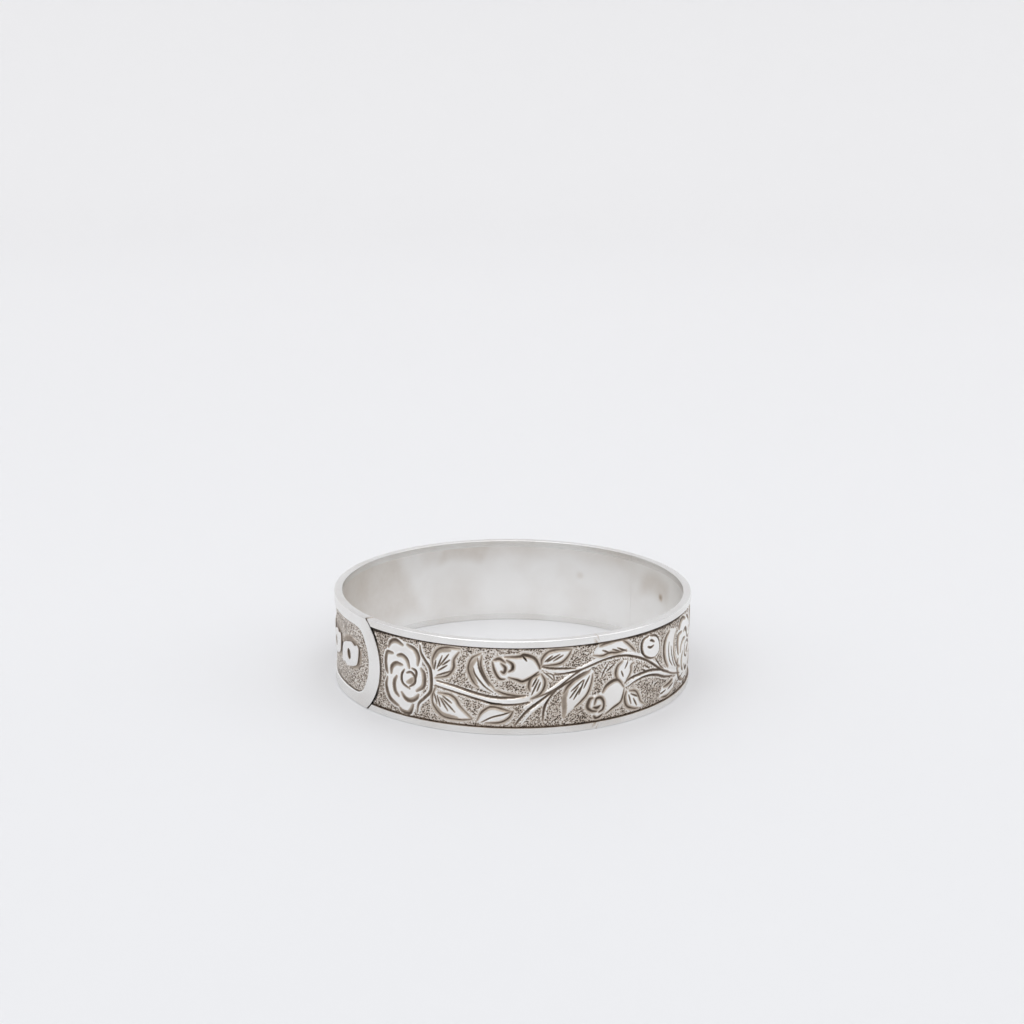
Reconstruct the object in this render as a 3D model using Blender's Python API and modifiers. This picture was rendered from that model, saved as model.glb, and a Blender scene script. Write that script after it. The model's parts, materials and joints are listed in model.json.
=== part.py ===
"""Hinged silver bangle in the form of a buckled belt.

The band is a hollow wall of two thin sheets between solid rims.  It is made in two halves: the belt
half, which carries the buckle and the rounded strap end with its eyelets, and the floral half, which
swings out on a hinge and snaps shut at the strap's tip.

Metres, +Z up.  The origin is the centre of the circle that the band stands on.  Angles are in degrees
round the band: 0 is the front (-Y), 90 is the right (+X).
"""

from math import cos, degrees, pi, radians, sin

import bmesh
import bpy
from mathutils import Matrix, Vector

MM = 0.001

# Band
OUTER_RADIUS = 33.0 * MM
WALL = 1.46 * MM
BAND_HEIGHT = 16.76 * MM
RIM_HEIGHT = 1.25 * MM
RIM_ROUNDING = 0.2 * MM
SHELL_DEPTH = 0.25 * MM
SHELL_SHEET = 0.30 * MM
LINING_SHEET = 0.25 * MM
SHEET_GAP = 0.07 * MM
SEGMENTS = 96

# Joint between the halves: the strap's tip is a round end about a radial axis
HINGE_ANGLE = 132.0
TIP_AXIS_ANGLE = -64.3
TIP_RADIUS = 11.2 * MM
TIP_GAP = 0.30 * MM
SEAM_GAP = 0.10 * MM
TIP_SEGMENTS = 96

# Strap end
STRAP_START_ANGLE = -134.0
FIELD_HALF_HEIGHT = 6.15 * MM
TIP_BORDER = 3.0 * MM
STRAP_PLATE_SHEET = 0.25 * MM
EYELET_FIRST_ANGLE = -62.2
EYELET_PITCH = 14.6
EYELET_COUNT = 5
EYELET_LENGTH = 7.8 * MM
EYELET_HEIGHT = 5.3 * MM
EYELET_SLOT = (1.4 * MM, 1.9 * MM)
EYELET_RELIEF = 0.2 * MM

# Buckle
BUCKLE_ANGLE = -124.0
BUCKLE_LENGTH = 13.6 * MM
BUCKLE_HEIGHT = 14.4 * MM
BUCKLE_CORNER = 2.6 * MM
BUCKLE_BAR_WIDTH = 2.3 * MM
BUCKLE_RISE = 1.05 * MM
CROSSBAR_RADIUS = 0.4 * MM
CROSSBAR_LIFT = 1.0 * MM
COLLAR_RADIUS = 0.75 * MM
PRONG_WIDTH = 1.7 * MM
PRONG_THICKNESS = 0.5 * MM

# Hinge
HINGE_AXIS_RADIUS = OUTER_RADIUS + 0.1 * MM
KNUCKLE_RADIUS = 0.8 * MM
KNUCKLE_BORE = 0.5 * MM
PIN_RADIUS = 0.4 * MM
KNUCKLE_COUNT = 5
KNUCKLE_GAP = 0.15 * MM
SHELL_END = 1.1 * MM
HINGE_SEGMENTS = 20

# Snap catch inside the strap's tip
TONGUE_INNER_RADIUS = 31.97 * MM
TONGUE_SHEET = 0.12 * MM
TONGUE_HALF_WIDTH = 1.9 * MM
TONGUE_END_ANGLE = -53.0
TONGUE_ROOT_ANGLE = -42.4
SPRING_SHEET = 0.12 * MM
SPRING_GAP = 0.06 * MM
SPRING_FLARE = 2.0
SPRING_FREE_ANGLE = -46.1
CATCH_SLOT_RADIUS = 32.34 * MM
PLATE_SHEET = 0.40 * MM

INNER_RADIUS = OUTER_RADIUS - WALL
SHELL_OUTER = OUTER_RADIUS - SHELL_DEPTH
SHELL_INNER = SHELL_OUTER - SHELL_SHEET
LINING_OUTER = INNER_RADIUS + LINING_SHEET
CAVITY = (LINING_OUTER + SHEET_GAP, SHELL_INNER - SHEET_GAP)
MIDDLE = BAND_HEIGHT / 2
SHEET_HALF_HEIGHT = MIDDLE - RIM_HEIGHT - SEAM_GAP
NEAR = OUTER_RADIUS / 2
FAR = 3 * OUTER_RADIUS

SILVER = (0.83, 0.82, 0.80)
SHADED_SILVER = (0.62, 0.60, 0.57)
SPRING_SILVER = (0.70, 0.69, 0.67)

for old in list(bpy.data.objects):
    bpy.data.objects.remove(old, do_unlink=True)

parts = bpy.data.collections.new("buckle_bangle")
cutters = bpy.data.collections.new("cutters")
bpy.context.scene.collection.children.link(parts)
bpy.context.scene.collection.children.link(cutters)


# Directions and materials ------------------------------------------------------------------------

def outward(angle):
    """Unit vector from the band's axis towards an angle."""
    return Vector((sin(radians(angle)), -cos(radians(angle)), 0))


def along(angle):
    """Unit vector round the band, towards larger angles."""
    return Vector((cos(radians(angle)), sin(radians(angle)), 0))


def band_frame(angle, radius, height):
    """Matrix whose X points outward, Y round the band and Z up, at a place in the band."""
    place = outward(angle) * radius + Vector((0, 0, height))
    return Matrix.Translation(place) @ Matrix.Rotation(radians(angle - 90), 4, "Z")


def metal(name, colour, roughness):
    material = bpy.data.materials.new(name)
    material.use_nodes = True
    shader = material.node_tree.nodes["Principled BSDF"]
    shader.inputs["Base Color"].default_value = (*colour, 1)
    shader.inputs["Metallic"].default_value = 1.0
    shader.inputs["Roughness"].default_value = roughness
    return material


# Solids ------------------------------------------------------------------------------------------

def add_object(name, bm, finish=None):
    """Makes an object: a part where it has a finish, and otherwise a cutter."""
    mesh = bpy.data.meshes.new(name)
    bm.to_mesh(mesh)
    bm.free()
    obj = bpy.data.objects.new(name, mesh)
    if finish:
        parts.objects.link(obj)
        mesh.materials.append(metal(name, *finish))
        mesh.shade_smooth()
        mesh.set_sharp_from_angle(angle=radians(35))
    else:
        cutters.objects.link(obj)
        obj.hide_render = True
        obj.display_type = "WIRE"
    return obj


def ring(name, profile, finish=None, segments=SEGMENTS):
    """Turns a closed (radius, height) profile, which runs down its outer side, about Z."""
    bm = bmesh.new()
    corners = [bm.verts.new((radius, 0, height)) for radius, height in profile]
    for corner, following in zip(corners, corners[1:] + corners[:1]):
        bm.edges.new((corner, following))
    obj = add_object(name, bm, finish)
    turn = obj.modifiers.new("turn", "SCREW")
    turn.steps = segments
    turn.render_steps = segments
    turn.use_merge_vertices = True
    turn.merge_threshold = 0.00001
    turn.use_smooth_shade = True
    return obj


def band(name, inner, outer, low, high, finish=None):
    """A ring of rectangular section."""
    return ring(name, [(outer, high), (outer, low), (inner, low), (inner, high)], finish)


def prism(name, outline, matrix, depth, finish=None):
    """Extrudes a flat outline in the matrix's XY plane, half of the depth to each side."""
    bm = bmesh.new()
    face = bm.faces.new([bm.verts.new((x, y, -depth / 2)) for x, y in outline])
    extruded = bmesh.ops.extrude_face_region(bm, geom=[face])
    top = [item for item in extruded["geom"] if isinstance(item, bmesh.types.BMVert)]
    bmesh.ops.translate(bm, verts=top, vec=(0, 0, depth))
    bmesh.ops.recalc_face_normals(bm, faces=bm.faces)
    bmesh.ops.transform(bm, matrix=matrix, verts=bm.verts)
    return add_object(name, bm, finish)


def cylinder(name, matrix, radius, depth, segments, finish=None):
    bm = bmesh.new()
    bmesh.ops.create_cone(
        bm, cap_ends=True, segments=segments, radius1=radius, radius2=radius, depth=depth, matrix=matrix)
    return add_object(name, bm, finish)


def box(name, matrix, size, finish=None):
    bm = bmesh.new()
    bmesh.ops.create_cube(bm, size=1, matrix=matrix @ Matrix.Diagonal((*size, 1)))
    return add_object(name, bm, finish)


def boolean(obj, cutter, operation):
    modifier = obj.modifiers.new(operation.lower() + "_" + cutter.name, "BOOLEAN")
    modifier.operation = operation
    modifier.object = cutter
    return obj


def radial_frame(angle, radius):
    """Matrix whose X runs round the band, Y up and Z outward, at the band's middle height."""
    columns = (along(angle), Vector((0, 0, 1)), outward(angle))
    turn = Matrix(columns).transposed().to_4x4()
    return Matrix.Translation(outward(angle) * radius + Vector((0, 0, MIDDLE))) @ turn


def sector(name, start, start_gap, end, end_gap):
    """A slice of the band between two angles, each side held back by its gap."""
    steps = max(2, round((end - start) / 40))
    first = along(start) * start_gap
    last = along(end) * -end_gap
    outline = [outward(start) * NEAR + first, outward(start) * FAR + first]
    outline += [outward(start + (end - start) * step / steps) * FAR for step in range(1, steps)]
    outline += [outward(end) * FAR + last, outward(end) * NEAR + last]
    flat = [(point.x, point.y) for point in outline]
    return prism(name, flat, Matrix.Translation((0, 0, MIDDLE)), 2 * BAND_HEIGHT)


def strap_region(name, start, start_gap, tip_radius):
    """The strap's side of the band from an angle up to a round tip."""
    region = sector(name, start, start_gap, TIP_AXIS_ANGLE, 0)
    tip = cylinder(
        name + "_tip", radial_frame(TIP_AXIS_ANGLE, OUTER_RADIUS), tip_radius, OUTER_RADIUS, TIP_SEGMENTS)
    return boolean(region, tip, "UNION")


def rounded_outline(length, height, corner, steps=5):
    """Rectangle with round corners, centred, anticlockwise."""
    points = []
    for quarter in range(4):
        side_x = length / 2 - corner if quarter in (0, 3) else corner - length / 2
        side_y = height / 2 - corner if quarter in (0, 1) else corner - height / 2
        for step in range(steps + 1):
            turn = (quarter + step / steps) * pi / 2
            points.append((side_x + corner * cos(turn), side_y + corner * sin(turn)))
    return points


def rosette_outline(length, height):
    """Six-cornered rosette outline with two small lobes, the same when turned by half a turn."""
    half_turn = [(0.97, 0.72), (0.82, 0.95), (0.58, 0.82), (0.26, 0.96), (-0.12, 0.82), (-0.84, 0.27)]
    corners = half_turn + [(-x, -z) for x, z in half_turn]
    return [(length / 2 * x, height / 2 * z) for x, z in corners]


# Regions of the band -----------------------------------------------------------------------------

HINGE_START = HINGE_ANGLE - 360.0
belt_side = strap_region("belt_side", HINGE_START, SEAM_GAP, TIP_RADIUS)
past_belt_side = strap_region("past_belt_side", HINGE_START, -SEAM_GAP, TIP_RADIUS + TIP_GAP)
past_belt_shell = strap_region("past_belt_shell", HINGE_START, -SHELL_END, TIP_RADIUS + TIP_GAP)
strap_side = strap_region("strap_side", STRAP_START_ANGLE, SEAM_GAP / 2, TIP_RADIUS)
field_side = strap_region("field_side", STRAP_START_ANGLE, 0, TIP_RADIUS - TIP_BORDER)
plate_side = strap_region(
    "plate_side", STRAP_START_ANGLE, SEAM_GAP / 2, TIP_RADIUS - TIP_BORDER - SEAM_GAP)
belt_run = sector("belt_run", HINGE_START, SEAM_GAP, STRAP_START_ANGLE, SEAM_GAP / 2)
belt_shell_run = sector("belt_shell_run", HINGE_START, SHELL_END, STRAP_START_ANGLE, SEAM_GAP / 2)


# Band pieces -------------------------------------------------------------------------------------

def rim_profile(low, high, rounded_top):
    """Section of a rim whose free edge is rounded and whose other edge meets the sheets."""
    edge = RIM_ROUNDING
    if rounded_top:
        return [
            (OUTER_RADIUS - edge, high), (OUTER_RADIUS - edge * 0.29, high - edge * 0.29),
            (OUTER_RADIUS, high - edge), (OUTER_RADIUS, low), (INNER_RADIUS, low),
            (INNER_RADIUS, high - edge * 0.5), (INNER_RADIUS + edge * 0.5, high)]
    return [
        (OUTER_RADIUS, high), (OUTER_RADIUS, low + edge),
        (OUTER_RADIUS - edge * 0.29, low + edge * 0.29), (OUTER_RADIUS - edge, low),
        (INNER_RADIUS + edge * 0.5, low), (INNER_RADIUS, low + edge * 0.5), (INNER_RADIUS, high)]


TOP_RIM = rim_profile(BAND_HEIGHT - RIM_HEIGHT, BAND_HEIGHT, True)
BOTTOM_RIM = rim_profile(0, RIM_HEIGHT, False)
SHEET_LOW = MIDDLE - SHEET_HALF_HEIGHT
SHEET_HIGH = MIDDLE + SHEET_HALF_HEIGHT
POLISHED = (SILVER, 0.22)
CHASED = (SHADED_SILVER, 0.42)
HIDDEN = (SHADED_SILVER, 0.35)

floral = []

floral.append(band("floral_shell", SHELL_INNER, SHELL_OUTER, SHEET_LOW, SHEET_HIGH, CHASED))
boolean(floral[-1], past_belt_shell, "DIFFERENCE")
floral.append(band("floral_lining", INNER_RADIUS, LINING_OUTER, SHEET_LOW, SHEET_HIGH, POLISHED))
boolean(floral[-1], past_belt_side, "DIFFERENCE")
floral.append(ring("floral_top_rim", TOP_RIM, POLISHED))
boolean(floral[-1], past_belt_side, "DIFFERENCE")
floral.append(ring("floral_bottom_rim", BOTTOM_RIM, POLISHED))
boolean(floral[-1], past_belt_side, "DIFFERENCE")

belt_shell = band("belt_shell", SHELL_INNER, SHELL_OUTER, SHEET_LOW, SHEET_HIGH, CHASED)
boolean(belt_shell, belt_shell_run, "INTERSECT")
belt_lining = band("belt_lining", INNER_RADIUS, LINING_OUTER, SHEET_LOW, SHEET_HIGH, POLISHED)
boolean(belt_lining, belt_side, "INTERSECT")
boolean(ring("belt_top_rim", TOP_RIM, POLISHED), belt_run, "INTERSECT")
boolean(ring("belt_bottom_rim", BOTTOM_RIM, POLISHED), belt_run, "INTERSECT")


# Strap end ---------------------------------------------------------------------------------------

def strap_border():
    """Border of the strap end: both rims and the plain band that joins them round the tip."""
    top = rim_profile(BAND_HEIGHT - RIM_HEIGHT, BAND_HEIGHT, True)
    bottom = rim_profile(0, RIM_HEIGHT, False)
    outer_side = top[:3] + bottom[1:4]
    inner_side = bottom[4:] + [(SHELL_INNER, RIM_HEIGHT), (SHELL_INNER, BAND_HEIGHT - RIM_HEIGHT)] + top[4:]
    border = ring("strap_end_border", outer_side + inner_side, POLISHED)
    field = band(
        "field_window", SHELL_INNER - WALL / 4, OUTER_RADIUS + WALL,
        MIDDLE - FIELD_HALF_HEIGHT, MIDDLE + FIELD_HALF_HEIGHT)
    boolean(field, field_side, "INTERSECT")
    boolean(border, strap_side, "INTERSECT")
    return boolean(border, field, "DIFFERENCE")


def strap_plate():
    """Recessed field of the strap end, a sheet that fills the border's window."""
    half = FIELD_HALF_HEIGHT - SEAM_GAP
    plate = band(
        "strap_end_plate", SHELL_INNER, SHELL_INNER + STRAP_PLATE_SHEET, MIDDLE - half, MIDDLE + half, CHASED)
    return boolean(plate, plate_side, "INTERSECT")


def eyelet(index):
    """Raised eyelet with a slot, curved with the strap."""
    angle = EYELET_FIRST_ANGLE - EYELET_PITCH * index
    name = "eyelet_%d" % (index + 1)
    frame = radial_frame(angle, OUTER_RADIUS)
    outline = rosette_outline(EYELET_LENGTH, EYELET_HEIGHT)
    slot = rounded_outline(*EYELET_SLOT, EYELET_SLOT[0] * 0.49, steps=3)
    half = EYELET_HEIGHT / 2 + EYELET_RELIEF
    plate = band(name, OUTER_RADIUS - EYELET_RELIEF, OUTER_RADIUS, MIDDLE - half, MIDDLE + half, POLISHED)
    boolean(plate, prism(name + "_outline", outline, frame, 4 * WALL), "INTERSECT")
    return boolean(plate, prism(name + "_slot", slot, frame, 5 * WALL), "DIFFERENCE")


strap_border()
strap_plate()
for eyelet_index in range(EYELET_COUNT):
    eyelet(eyelet_index)


# Buckle ------------------------------------------------------------------------------------------

BUCKLE_INNER = OUTER_RADIUS + SEAM_GAP
BUCKLE_OUTER = BUCKLE_INNER + BUCKLE_RISE
WINDOW_LENGTH = BUCKLE_LENGTH - 2 * BUCKLE_BAR_WIDTH
WINDOW_HEIGHT = BUCKLE_HEIGHT - 2 * BUCKLE_BAR_WIDTH
CROSSBAR_ANGLE = BUCKLE_ANGLE + degrees((WINDOW_LENGTH / 2 - 1.3 * MM) / OUTER_RADIUS)
CROSSBAR_PLACE = OUTER_RADIUS + CROSSBAR_LIFT
PRONG_INNER = BUCKLE_OUTER + SEAM_GAP


def buckle_frame():
    """Rounded rectangular frame that curves with the band and stands on its rims."""
    edge = BUCKLE_RISE * 0.3
    low = MIDDLE - BUCKLE_HEIGHT / 2
    high = MIDDLE + BUCKLE_HEIGHT / 2
    section = [
        (BUCKLE_OUTER - edge, high), (BUCKLE_OUTER, high - edge), (BUCKLE_OUTER, low + edge),
        (BUCKLE_OUTER - edge, low), (BUCKLE_INNER, low), (BUCKLE_INNER, high)]
    frame = radial_frame(BUCKLE_ANGLE, OUTER_RADIUS)
    outer = rounded_outline(BUCKLE_LENGTH, BUCKLE_HEIGHT + WALL, BUCKLE_CORNER)
    inner = rounded_outline(WINDOW_LENGTH, WINDOW_HEIGHT, BUCKLE_CORNER / 2)
    body = ring("buckle_frame", section, POLISHED)
    boolean(body, prism("buckle_outline", outer, frame, 6 * WALL), "INTERSECT")
    return boolean(body, prism("buckle_window", inner, frame, 7 * WALL), "DIFFERENCE")


def crossbar():
    """Round bar across the buckle's window, which the prong is wrapped round."""
    length = WINDOW_HEIGHT - 2 * SEAM_GAP
    frame = band_frame(CROSSBAR_ANGLE, CROSSBAR_PLACE, MIDDLE)
    return cylinder("buckle_crossbar", frame, CROSSBAR_RADIUS, length, 16, POLISHED)


def prong():
    """Curved blade from the crossbar over the frame's far side, with a collar round the bar."""
    far_angle = BUCKLE_ANGLE - degrees((BUCKLE_LENGTH / 2 - 0.3 * MM) / OUTER_RADIUS)
    half = PRONG_WIDTH / 2
    blade = band(
        "buckle_prong", PRONG_INNER, PRONG_INNER + PRONG_THICKNESS, MIDDLE - half, MIDDLE + half, POLISHED)
    boolean(blade, sector("prong_run", far_angle, 0, CROSSBAR_ANGLE, 0), "INTERSECT")
    collar_frame = band_frame(CROSSBAR_ANGLE, CROSSBAR_PLACE, MIDDLE)
    collar = cylinder("prong_collar", collar_frame, COLLAR_RADIUS, PRONG_WIDTH, 24)
    bore = cylinder("prong_bore", collar_frame, CROSSBAR_RADIUS + SEAM_GAP, 2 * PRONG_WIDTH, 16)
    boolean(blade, collar, "UNION")
    return boolean(blade, bore, "DIFFERENCE")


buckle_frame()
crossbar()
prong()


# Hinge -------------------------------------------------------------------------------------------

BARREL_LOW = SHEET_LOW + SEAM_GAP
BARREL_HIGH = SHEET_HIGH - SEAM_GAP
KNUCKLE_PITCH = (BARREL_HIGH - BARREL_LOW + KNUCKLE_GAP) / KNUCKLE_COUNT
KNUCKLE_LENGTH = KNUCKLE_PITCH - KNUCKLE_GAP
LEAF_START = KNUCKLE_BORE + 0.03 * MM
LEAF_END = SHELL_END - 0.05 * MM
LEAF_OUTER = OUTER_RADIUS - 0.02 * MM
LEAF_INNER = SHELL_INNER


def knuckle(index):
    """Short tube on the hinge's axis, with a leaf that joins it to its half's shell."""
    low = BARREL_LOW + KNUCKLE_PITCH * index
    name = "hinge_knuckle_%d" % (index + 1)
    frame = band_frame(HINGE_ANGLE, HINGE_AXIS_RADIUS, low + KNUCKLE_LENGTH / 2)
    half = KNUCKLE_LENGTH / 2
    tube = ring(
        name, [(KNUCKLE_RADIUS, half), (KNUCKLE_RADIUS, -half), (KNUCKLE_BORE, -half), (KNUCKLE_BORE, half)],
        POLISHED, HINGE_SEGMENTS)
    tube.matrix_world = frame
    side = 1 if index % 2 == 0 else -1
    leaf_place = Matrix.Translation((
        (LEAF_OUTER + LEAF_INNER) / 2 - HINGE_AXIS_RADIUS, side * (LEAF_START + LEAF_END) / 2, 0))
    leaf = box(
        name + "_leaf", frame @ leaf_place, (LEAF_OUTER - LEAF_INNER, LEAF_END - LEAF_START, KNUCKLE_LENGTH))
    return boolean(tube, leaf, "UNION")


def hinge_plate(name, side):
    """Flat plate that closes the hollow of a half beside the hinge."""
    radial = CAVITY[1] - CAVITY[0] - SEAM_GAP
    height = 2 * (SHEET_HALF_HEIGHT - SEAM_GAP)
    centre = band_frame(HINGE_ANGLE, CAVITY[0] + radial / 2, MIDDLE)
    shift = Matrix.Translation((0, side * (SHELL_END + PLATE_SHEET), 0))
    return box(name, centre @ shift, (radial, PLATE_SHEET, height), HIDDEN)


for knuckle_index in range(KNUCKLE_COUNT):
    made = knuckle(knuckle_index)
    if knuckle_index % 2:
        floral.append(made)
hinge_plate("belt_hinge_plate", 1)
floral.append(hinge_plate("floral_hinge_plate", -1))
cylinder(
    "hinge_pin", band_frame(HINGE_ANGLE, HINGE_AXIS_RADIUS, (BARREL_LOW + BARREL_HIGH) / 2),
    PIN_RADIUS, BARREL_HIGH - BARREL_LOW, HINGE_SEGMENTS, HIDDEN)


# Snap catch --------------------------------------------------------------------------------------

SPRING_RADIUS = TONGUE_INNER_RADIUS + TONGUE_SHEET + SPRING_GAP
SPRING_PIVOT = outward(TONGUE_END_ANGLE) * SPRING_RADIUS
CATCH_HALF = SHEET_HALF_HEIGHT - SEAM_GAP
SLOT_HALF = TONGUE_HALF_WIDTH + 0.15 * MM
BOX_WALL = 0.3 * MM
BOX_FAR_ANGLE = TONGUE_END_ANGLE - 0.6


def tip_plate(name, outer_tip, slot_outer):
    """Curved plate that closes a half's hollow along the strap's tip, with a slot for the tongue."""
    plate = band(name, *CAVITY, MIDDLE - CATCH_HALF, MIDDLE + CATCH_HALF, HIDDEN)
    side = 2 * CATCH_HALF + WALL
    frame = radial_frame(TIP_AXIS_ANGLE, OUTER_RADIUS)
    outer = cylinder(name + "_outer", frame, outer_tip, OUTER_RADIUS, TIP_SEGMENTS)
    inner = cylinder(name + "_inner", frame, outer_tip - PLATE_SHEET, 2 * OUTER_RADIUS, TIP_SEGMENTS)
    front = box(
        name + "_front", frame @ Matrix.Translation((side / 2 + WALL, 0, 0)), (side, side, OUTER_RADIUS))
    slot = band(name + "_slot", CAVITY[0] - WALL / 2, slot_outer, MIDDLE - SLOT_HALF, MIDDLE + SLOT_HALF)
    boolean(plate, outer, "INTERSECT")
    boolean(plate, front, "INTERSECT")
    boolean(plate, inner, "DIFFERENCE")
    return boolean(plate, slot, "DIFFERENCE")


def tongue():
    """Flat tongue that is held in the floral half and reaches into the strap's tip."""
    low = MIDDLE - TONGUE_HALF_WIDTH
    high = MIDDLE + TONGUE_HALF_WIDTH
    blade = band("catch_tongue", TONGUE_INNER_RADIUS, TONGUE_INNER_RADIUS + TONGUE_SHEET, low, high, HIDDEN)
    return boolean(blade, sector("tongue_run", TONGUE_END_ANGLE, 0, TONGUE_ROOT_ANGLE, 0), "INTERSECT")


def spring():
    """Leaf spring over the tongue: it rises from the tongue's end and its free end snaps in."""
    half = TONGUE_HALF_WIDTH - 0.3 * MM
    leaf = band(
        "catch_spring", SPRING_RADIUS, SPRING_RADIUS + SPRING_SHEET, MIDDLE - half, MIDDLE + half,
        (SPRING_SILVER, 0.3))
    run = sector("spring_run", TONGUE_END_ANGLE + 0.2, 0, SPRING_FREE_ANGLE, 0)
    boolean(leaf, run, "INTERSECT")
    turn = Matrix.Rotation(radians(-SPRING_FLARE), 4, "Z")
    flare = Matrix.Translation(SPRING_PIVOT) @ turn @ Matrix.Translation(-SPRING_PIVOT)
    for obj in (leaf, run):
        obj.matrix_world = flare
    return leaf


def catch_box():
    """Channel round the tongue, open towards the joint."""
    outer_half = SLOT_HALF + BOX_WALL
    channel = band("catch_box", *CAVITY, MIDDLE - outer_half, MIDDLE + outer_half, HIDDEN)
    hollow = band(
        "box_hollow", CAVITY[0] - WALL / 2, CAVITY[1] + WALL / 2, MIDDLE - SLOT_HALF, MIDDLE + SLOT_HALF)
    boolean(hollow, sector("hollow_run", BOX_FAR_ANGLE, 0, TONGUE_ROOT_ANGLE, 0), "INTERSECT")
    run = sector("box_run", BOX_FAR_ANGLE, -BOX_WALL, SPRING_FREE_ANGLE, 0)
    boolean(channel, run, "INTERSECT")
    return boolean(channel, hollow, "DIFFERENCE")


tip_plate("catch_plate", TIP_RADIUS - SEAM_GAP / 2, CATCH_SLOT_RADIUS)
floral.append(tip_plate("tongue_plate", TIP_RADIUS + TIP_GAP + SEAM_GAP / 2 + PLATE_SHEET, CATCH_SLOT_RADIUS))
catch_box()
floral.append(tongue())
spring_leaf = spring()


# Moving pieces hang on an empty at their joint ---------------------------------------------------

def joint_empty(name, place):
    empty = bpy.data.objects.new(name, None)
    empty.location = place
    parts.objects.link(empty)
    return empty


def hang(children, empty):
    bpy.context.view_layer.update()
    for child in children:
        child.parent = empty
        child.matrix_parent_inverse = empty.matrix_world.inverted()


hinge_joint = joint_empty("hinge_joint", outward(HINGE_ANGLE) * HINGE_AXIS_RADIUS)
spring_joint = joint_empty("spring_joint", SPRING_PIVOT)
hang([spring_leaf], spring_joint)
hang(floral + [spring_joint], hinge_joint)
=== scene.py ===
"""Looks of the hinged silver bangle in the form of a buckled belt.

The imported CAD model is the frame.  Each visible piece is a fine mesh that stands for its CAD node:
chased relief for the shells, rounded rims, a strap end with a stippled field, eyelets, and a buckle.

Places on the band are in millimetres: s runs round the outer face from the front (-Y) towards +X,
z is the height over the band's middle, and r is the distance from the band's axis.
"""

import json
from math import atan2, cos, pi, radians, sin

import bpy
import numpy as np
from mathutils import Matrix, Vector


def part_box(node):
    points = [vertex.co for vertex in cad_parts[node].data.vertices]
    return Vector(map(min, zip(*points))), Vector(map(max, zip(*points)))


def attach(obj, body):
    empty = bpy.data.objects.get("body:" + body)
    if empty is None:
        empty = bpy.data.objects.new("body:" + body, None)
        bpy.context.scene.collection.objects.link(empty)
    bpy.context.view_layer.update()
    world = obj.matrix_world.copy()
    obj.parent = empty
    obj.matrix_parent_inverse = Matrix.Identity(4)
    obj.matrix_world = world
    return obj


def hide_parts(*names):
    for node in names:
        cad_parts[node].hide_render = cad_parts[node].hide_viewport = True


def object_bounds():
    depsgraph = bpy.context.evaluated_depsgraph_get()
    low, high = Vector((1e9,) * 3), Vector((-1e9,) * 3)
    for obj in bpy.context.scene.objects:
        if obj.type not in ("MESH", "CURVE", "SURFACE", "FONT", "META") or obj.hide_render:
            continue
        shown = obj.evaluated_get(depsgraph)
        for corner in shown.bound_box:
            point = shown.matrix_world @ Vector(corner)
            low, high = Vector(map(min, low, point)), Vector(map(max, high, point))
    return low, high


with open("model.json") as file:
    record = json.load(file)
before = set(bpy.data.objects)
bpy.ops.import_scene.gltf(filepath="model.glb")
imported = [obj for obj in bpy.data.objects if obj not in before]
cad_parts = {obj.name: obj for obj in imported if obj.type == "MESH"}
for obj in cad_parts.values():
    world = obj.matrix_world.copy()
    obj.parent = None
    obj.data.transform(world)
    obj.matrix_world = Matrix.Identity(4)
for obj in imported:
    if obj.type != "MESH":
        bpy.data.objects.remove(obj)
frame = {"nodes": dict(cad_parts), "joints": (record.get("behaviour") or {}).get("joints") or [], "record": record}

MM = 0.001
cad_box = [list(corner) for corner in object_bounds()]


# Sizes that the CAD model gives ------------------------------------------------------------------

def reach(node):
    """Smallest and largest distance of a CAD node from the band's axis, in mm."""
    spots = np.array([vertex.co for vertex in frame["nodes"][node].data.vertices])
    away = np.hypot(spots[:, 0], spots[:, 1]) / MM
    return float(away.min()), float(away.max())


def joint_place(name):
    joint = next(item for item in frame["joints"] if item["name"] == name)
    return [value / MM for value in joint["pos_m"]]


LOW, HIGH = (corner[2] / MM for corner in cad_box)
MIDDLE = (LOW + HIGH) / 2
HALF = (HIGH - LOW) / 2
OUTER = (cad_box[1][0] - cad_box[0][0]) / 2 / MM
INNER = reach("floral_lining")[0] - 0.001
LINING_OUTER = reach("floral_lining")[1]
SHELL_INNER, SHELL_OUTER = reach("floral_shell")
SHEET_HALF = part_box("floral_shell")[1][2] / MM - MIDDLE
RIM_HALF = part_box("floral_top_rim")[0][2] / MM - MIDDLE
HINGE = joint_place("main_hinge")
HINGE_S = atan2(HINGE[0], -HINGE[1]) * OUTER
ROUND = 2 * pi * OUTER

# The strap's tip, as in the CAD model: a round end about a radial axis
TIP_AXIS_S = radians(-64.3) * OUTER
TIP_RADIUS = 11.2
TIP_GAP = 0.30
FIELD_HALF = 6.15
FIELD_RADIUS = 8.2
FIELD_CORNER = 1.2
STRAP_START_S = radians(-134.0) * OUTER
# How far the shells end from the hinge's pin
SHELL_END = 1.1
# Width of the seam at the strap's start, and half the width of the one at the hinge
SEAM = 0.01

# The row of eyelets, as in the CAD model; the corners are shares of the half length and height
EYELETS = 5
EYELET_FIRST = -62.2
EYELET_PITCH = 14.6
EYELET_HALVES = (3.9, 2.65)
EYELET_CORNERS = [(0.96, 0.66), (0.82, 0.92), (0.58, 0.8), (0.26, 0.95), (-0.14, 0.82), (-0.52, 0.66),
                  (-0.83, 0.34)]
SLOT_HALVES = (0.7, 0.95)
SLOT_LEAN = 0.16
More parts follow.
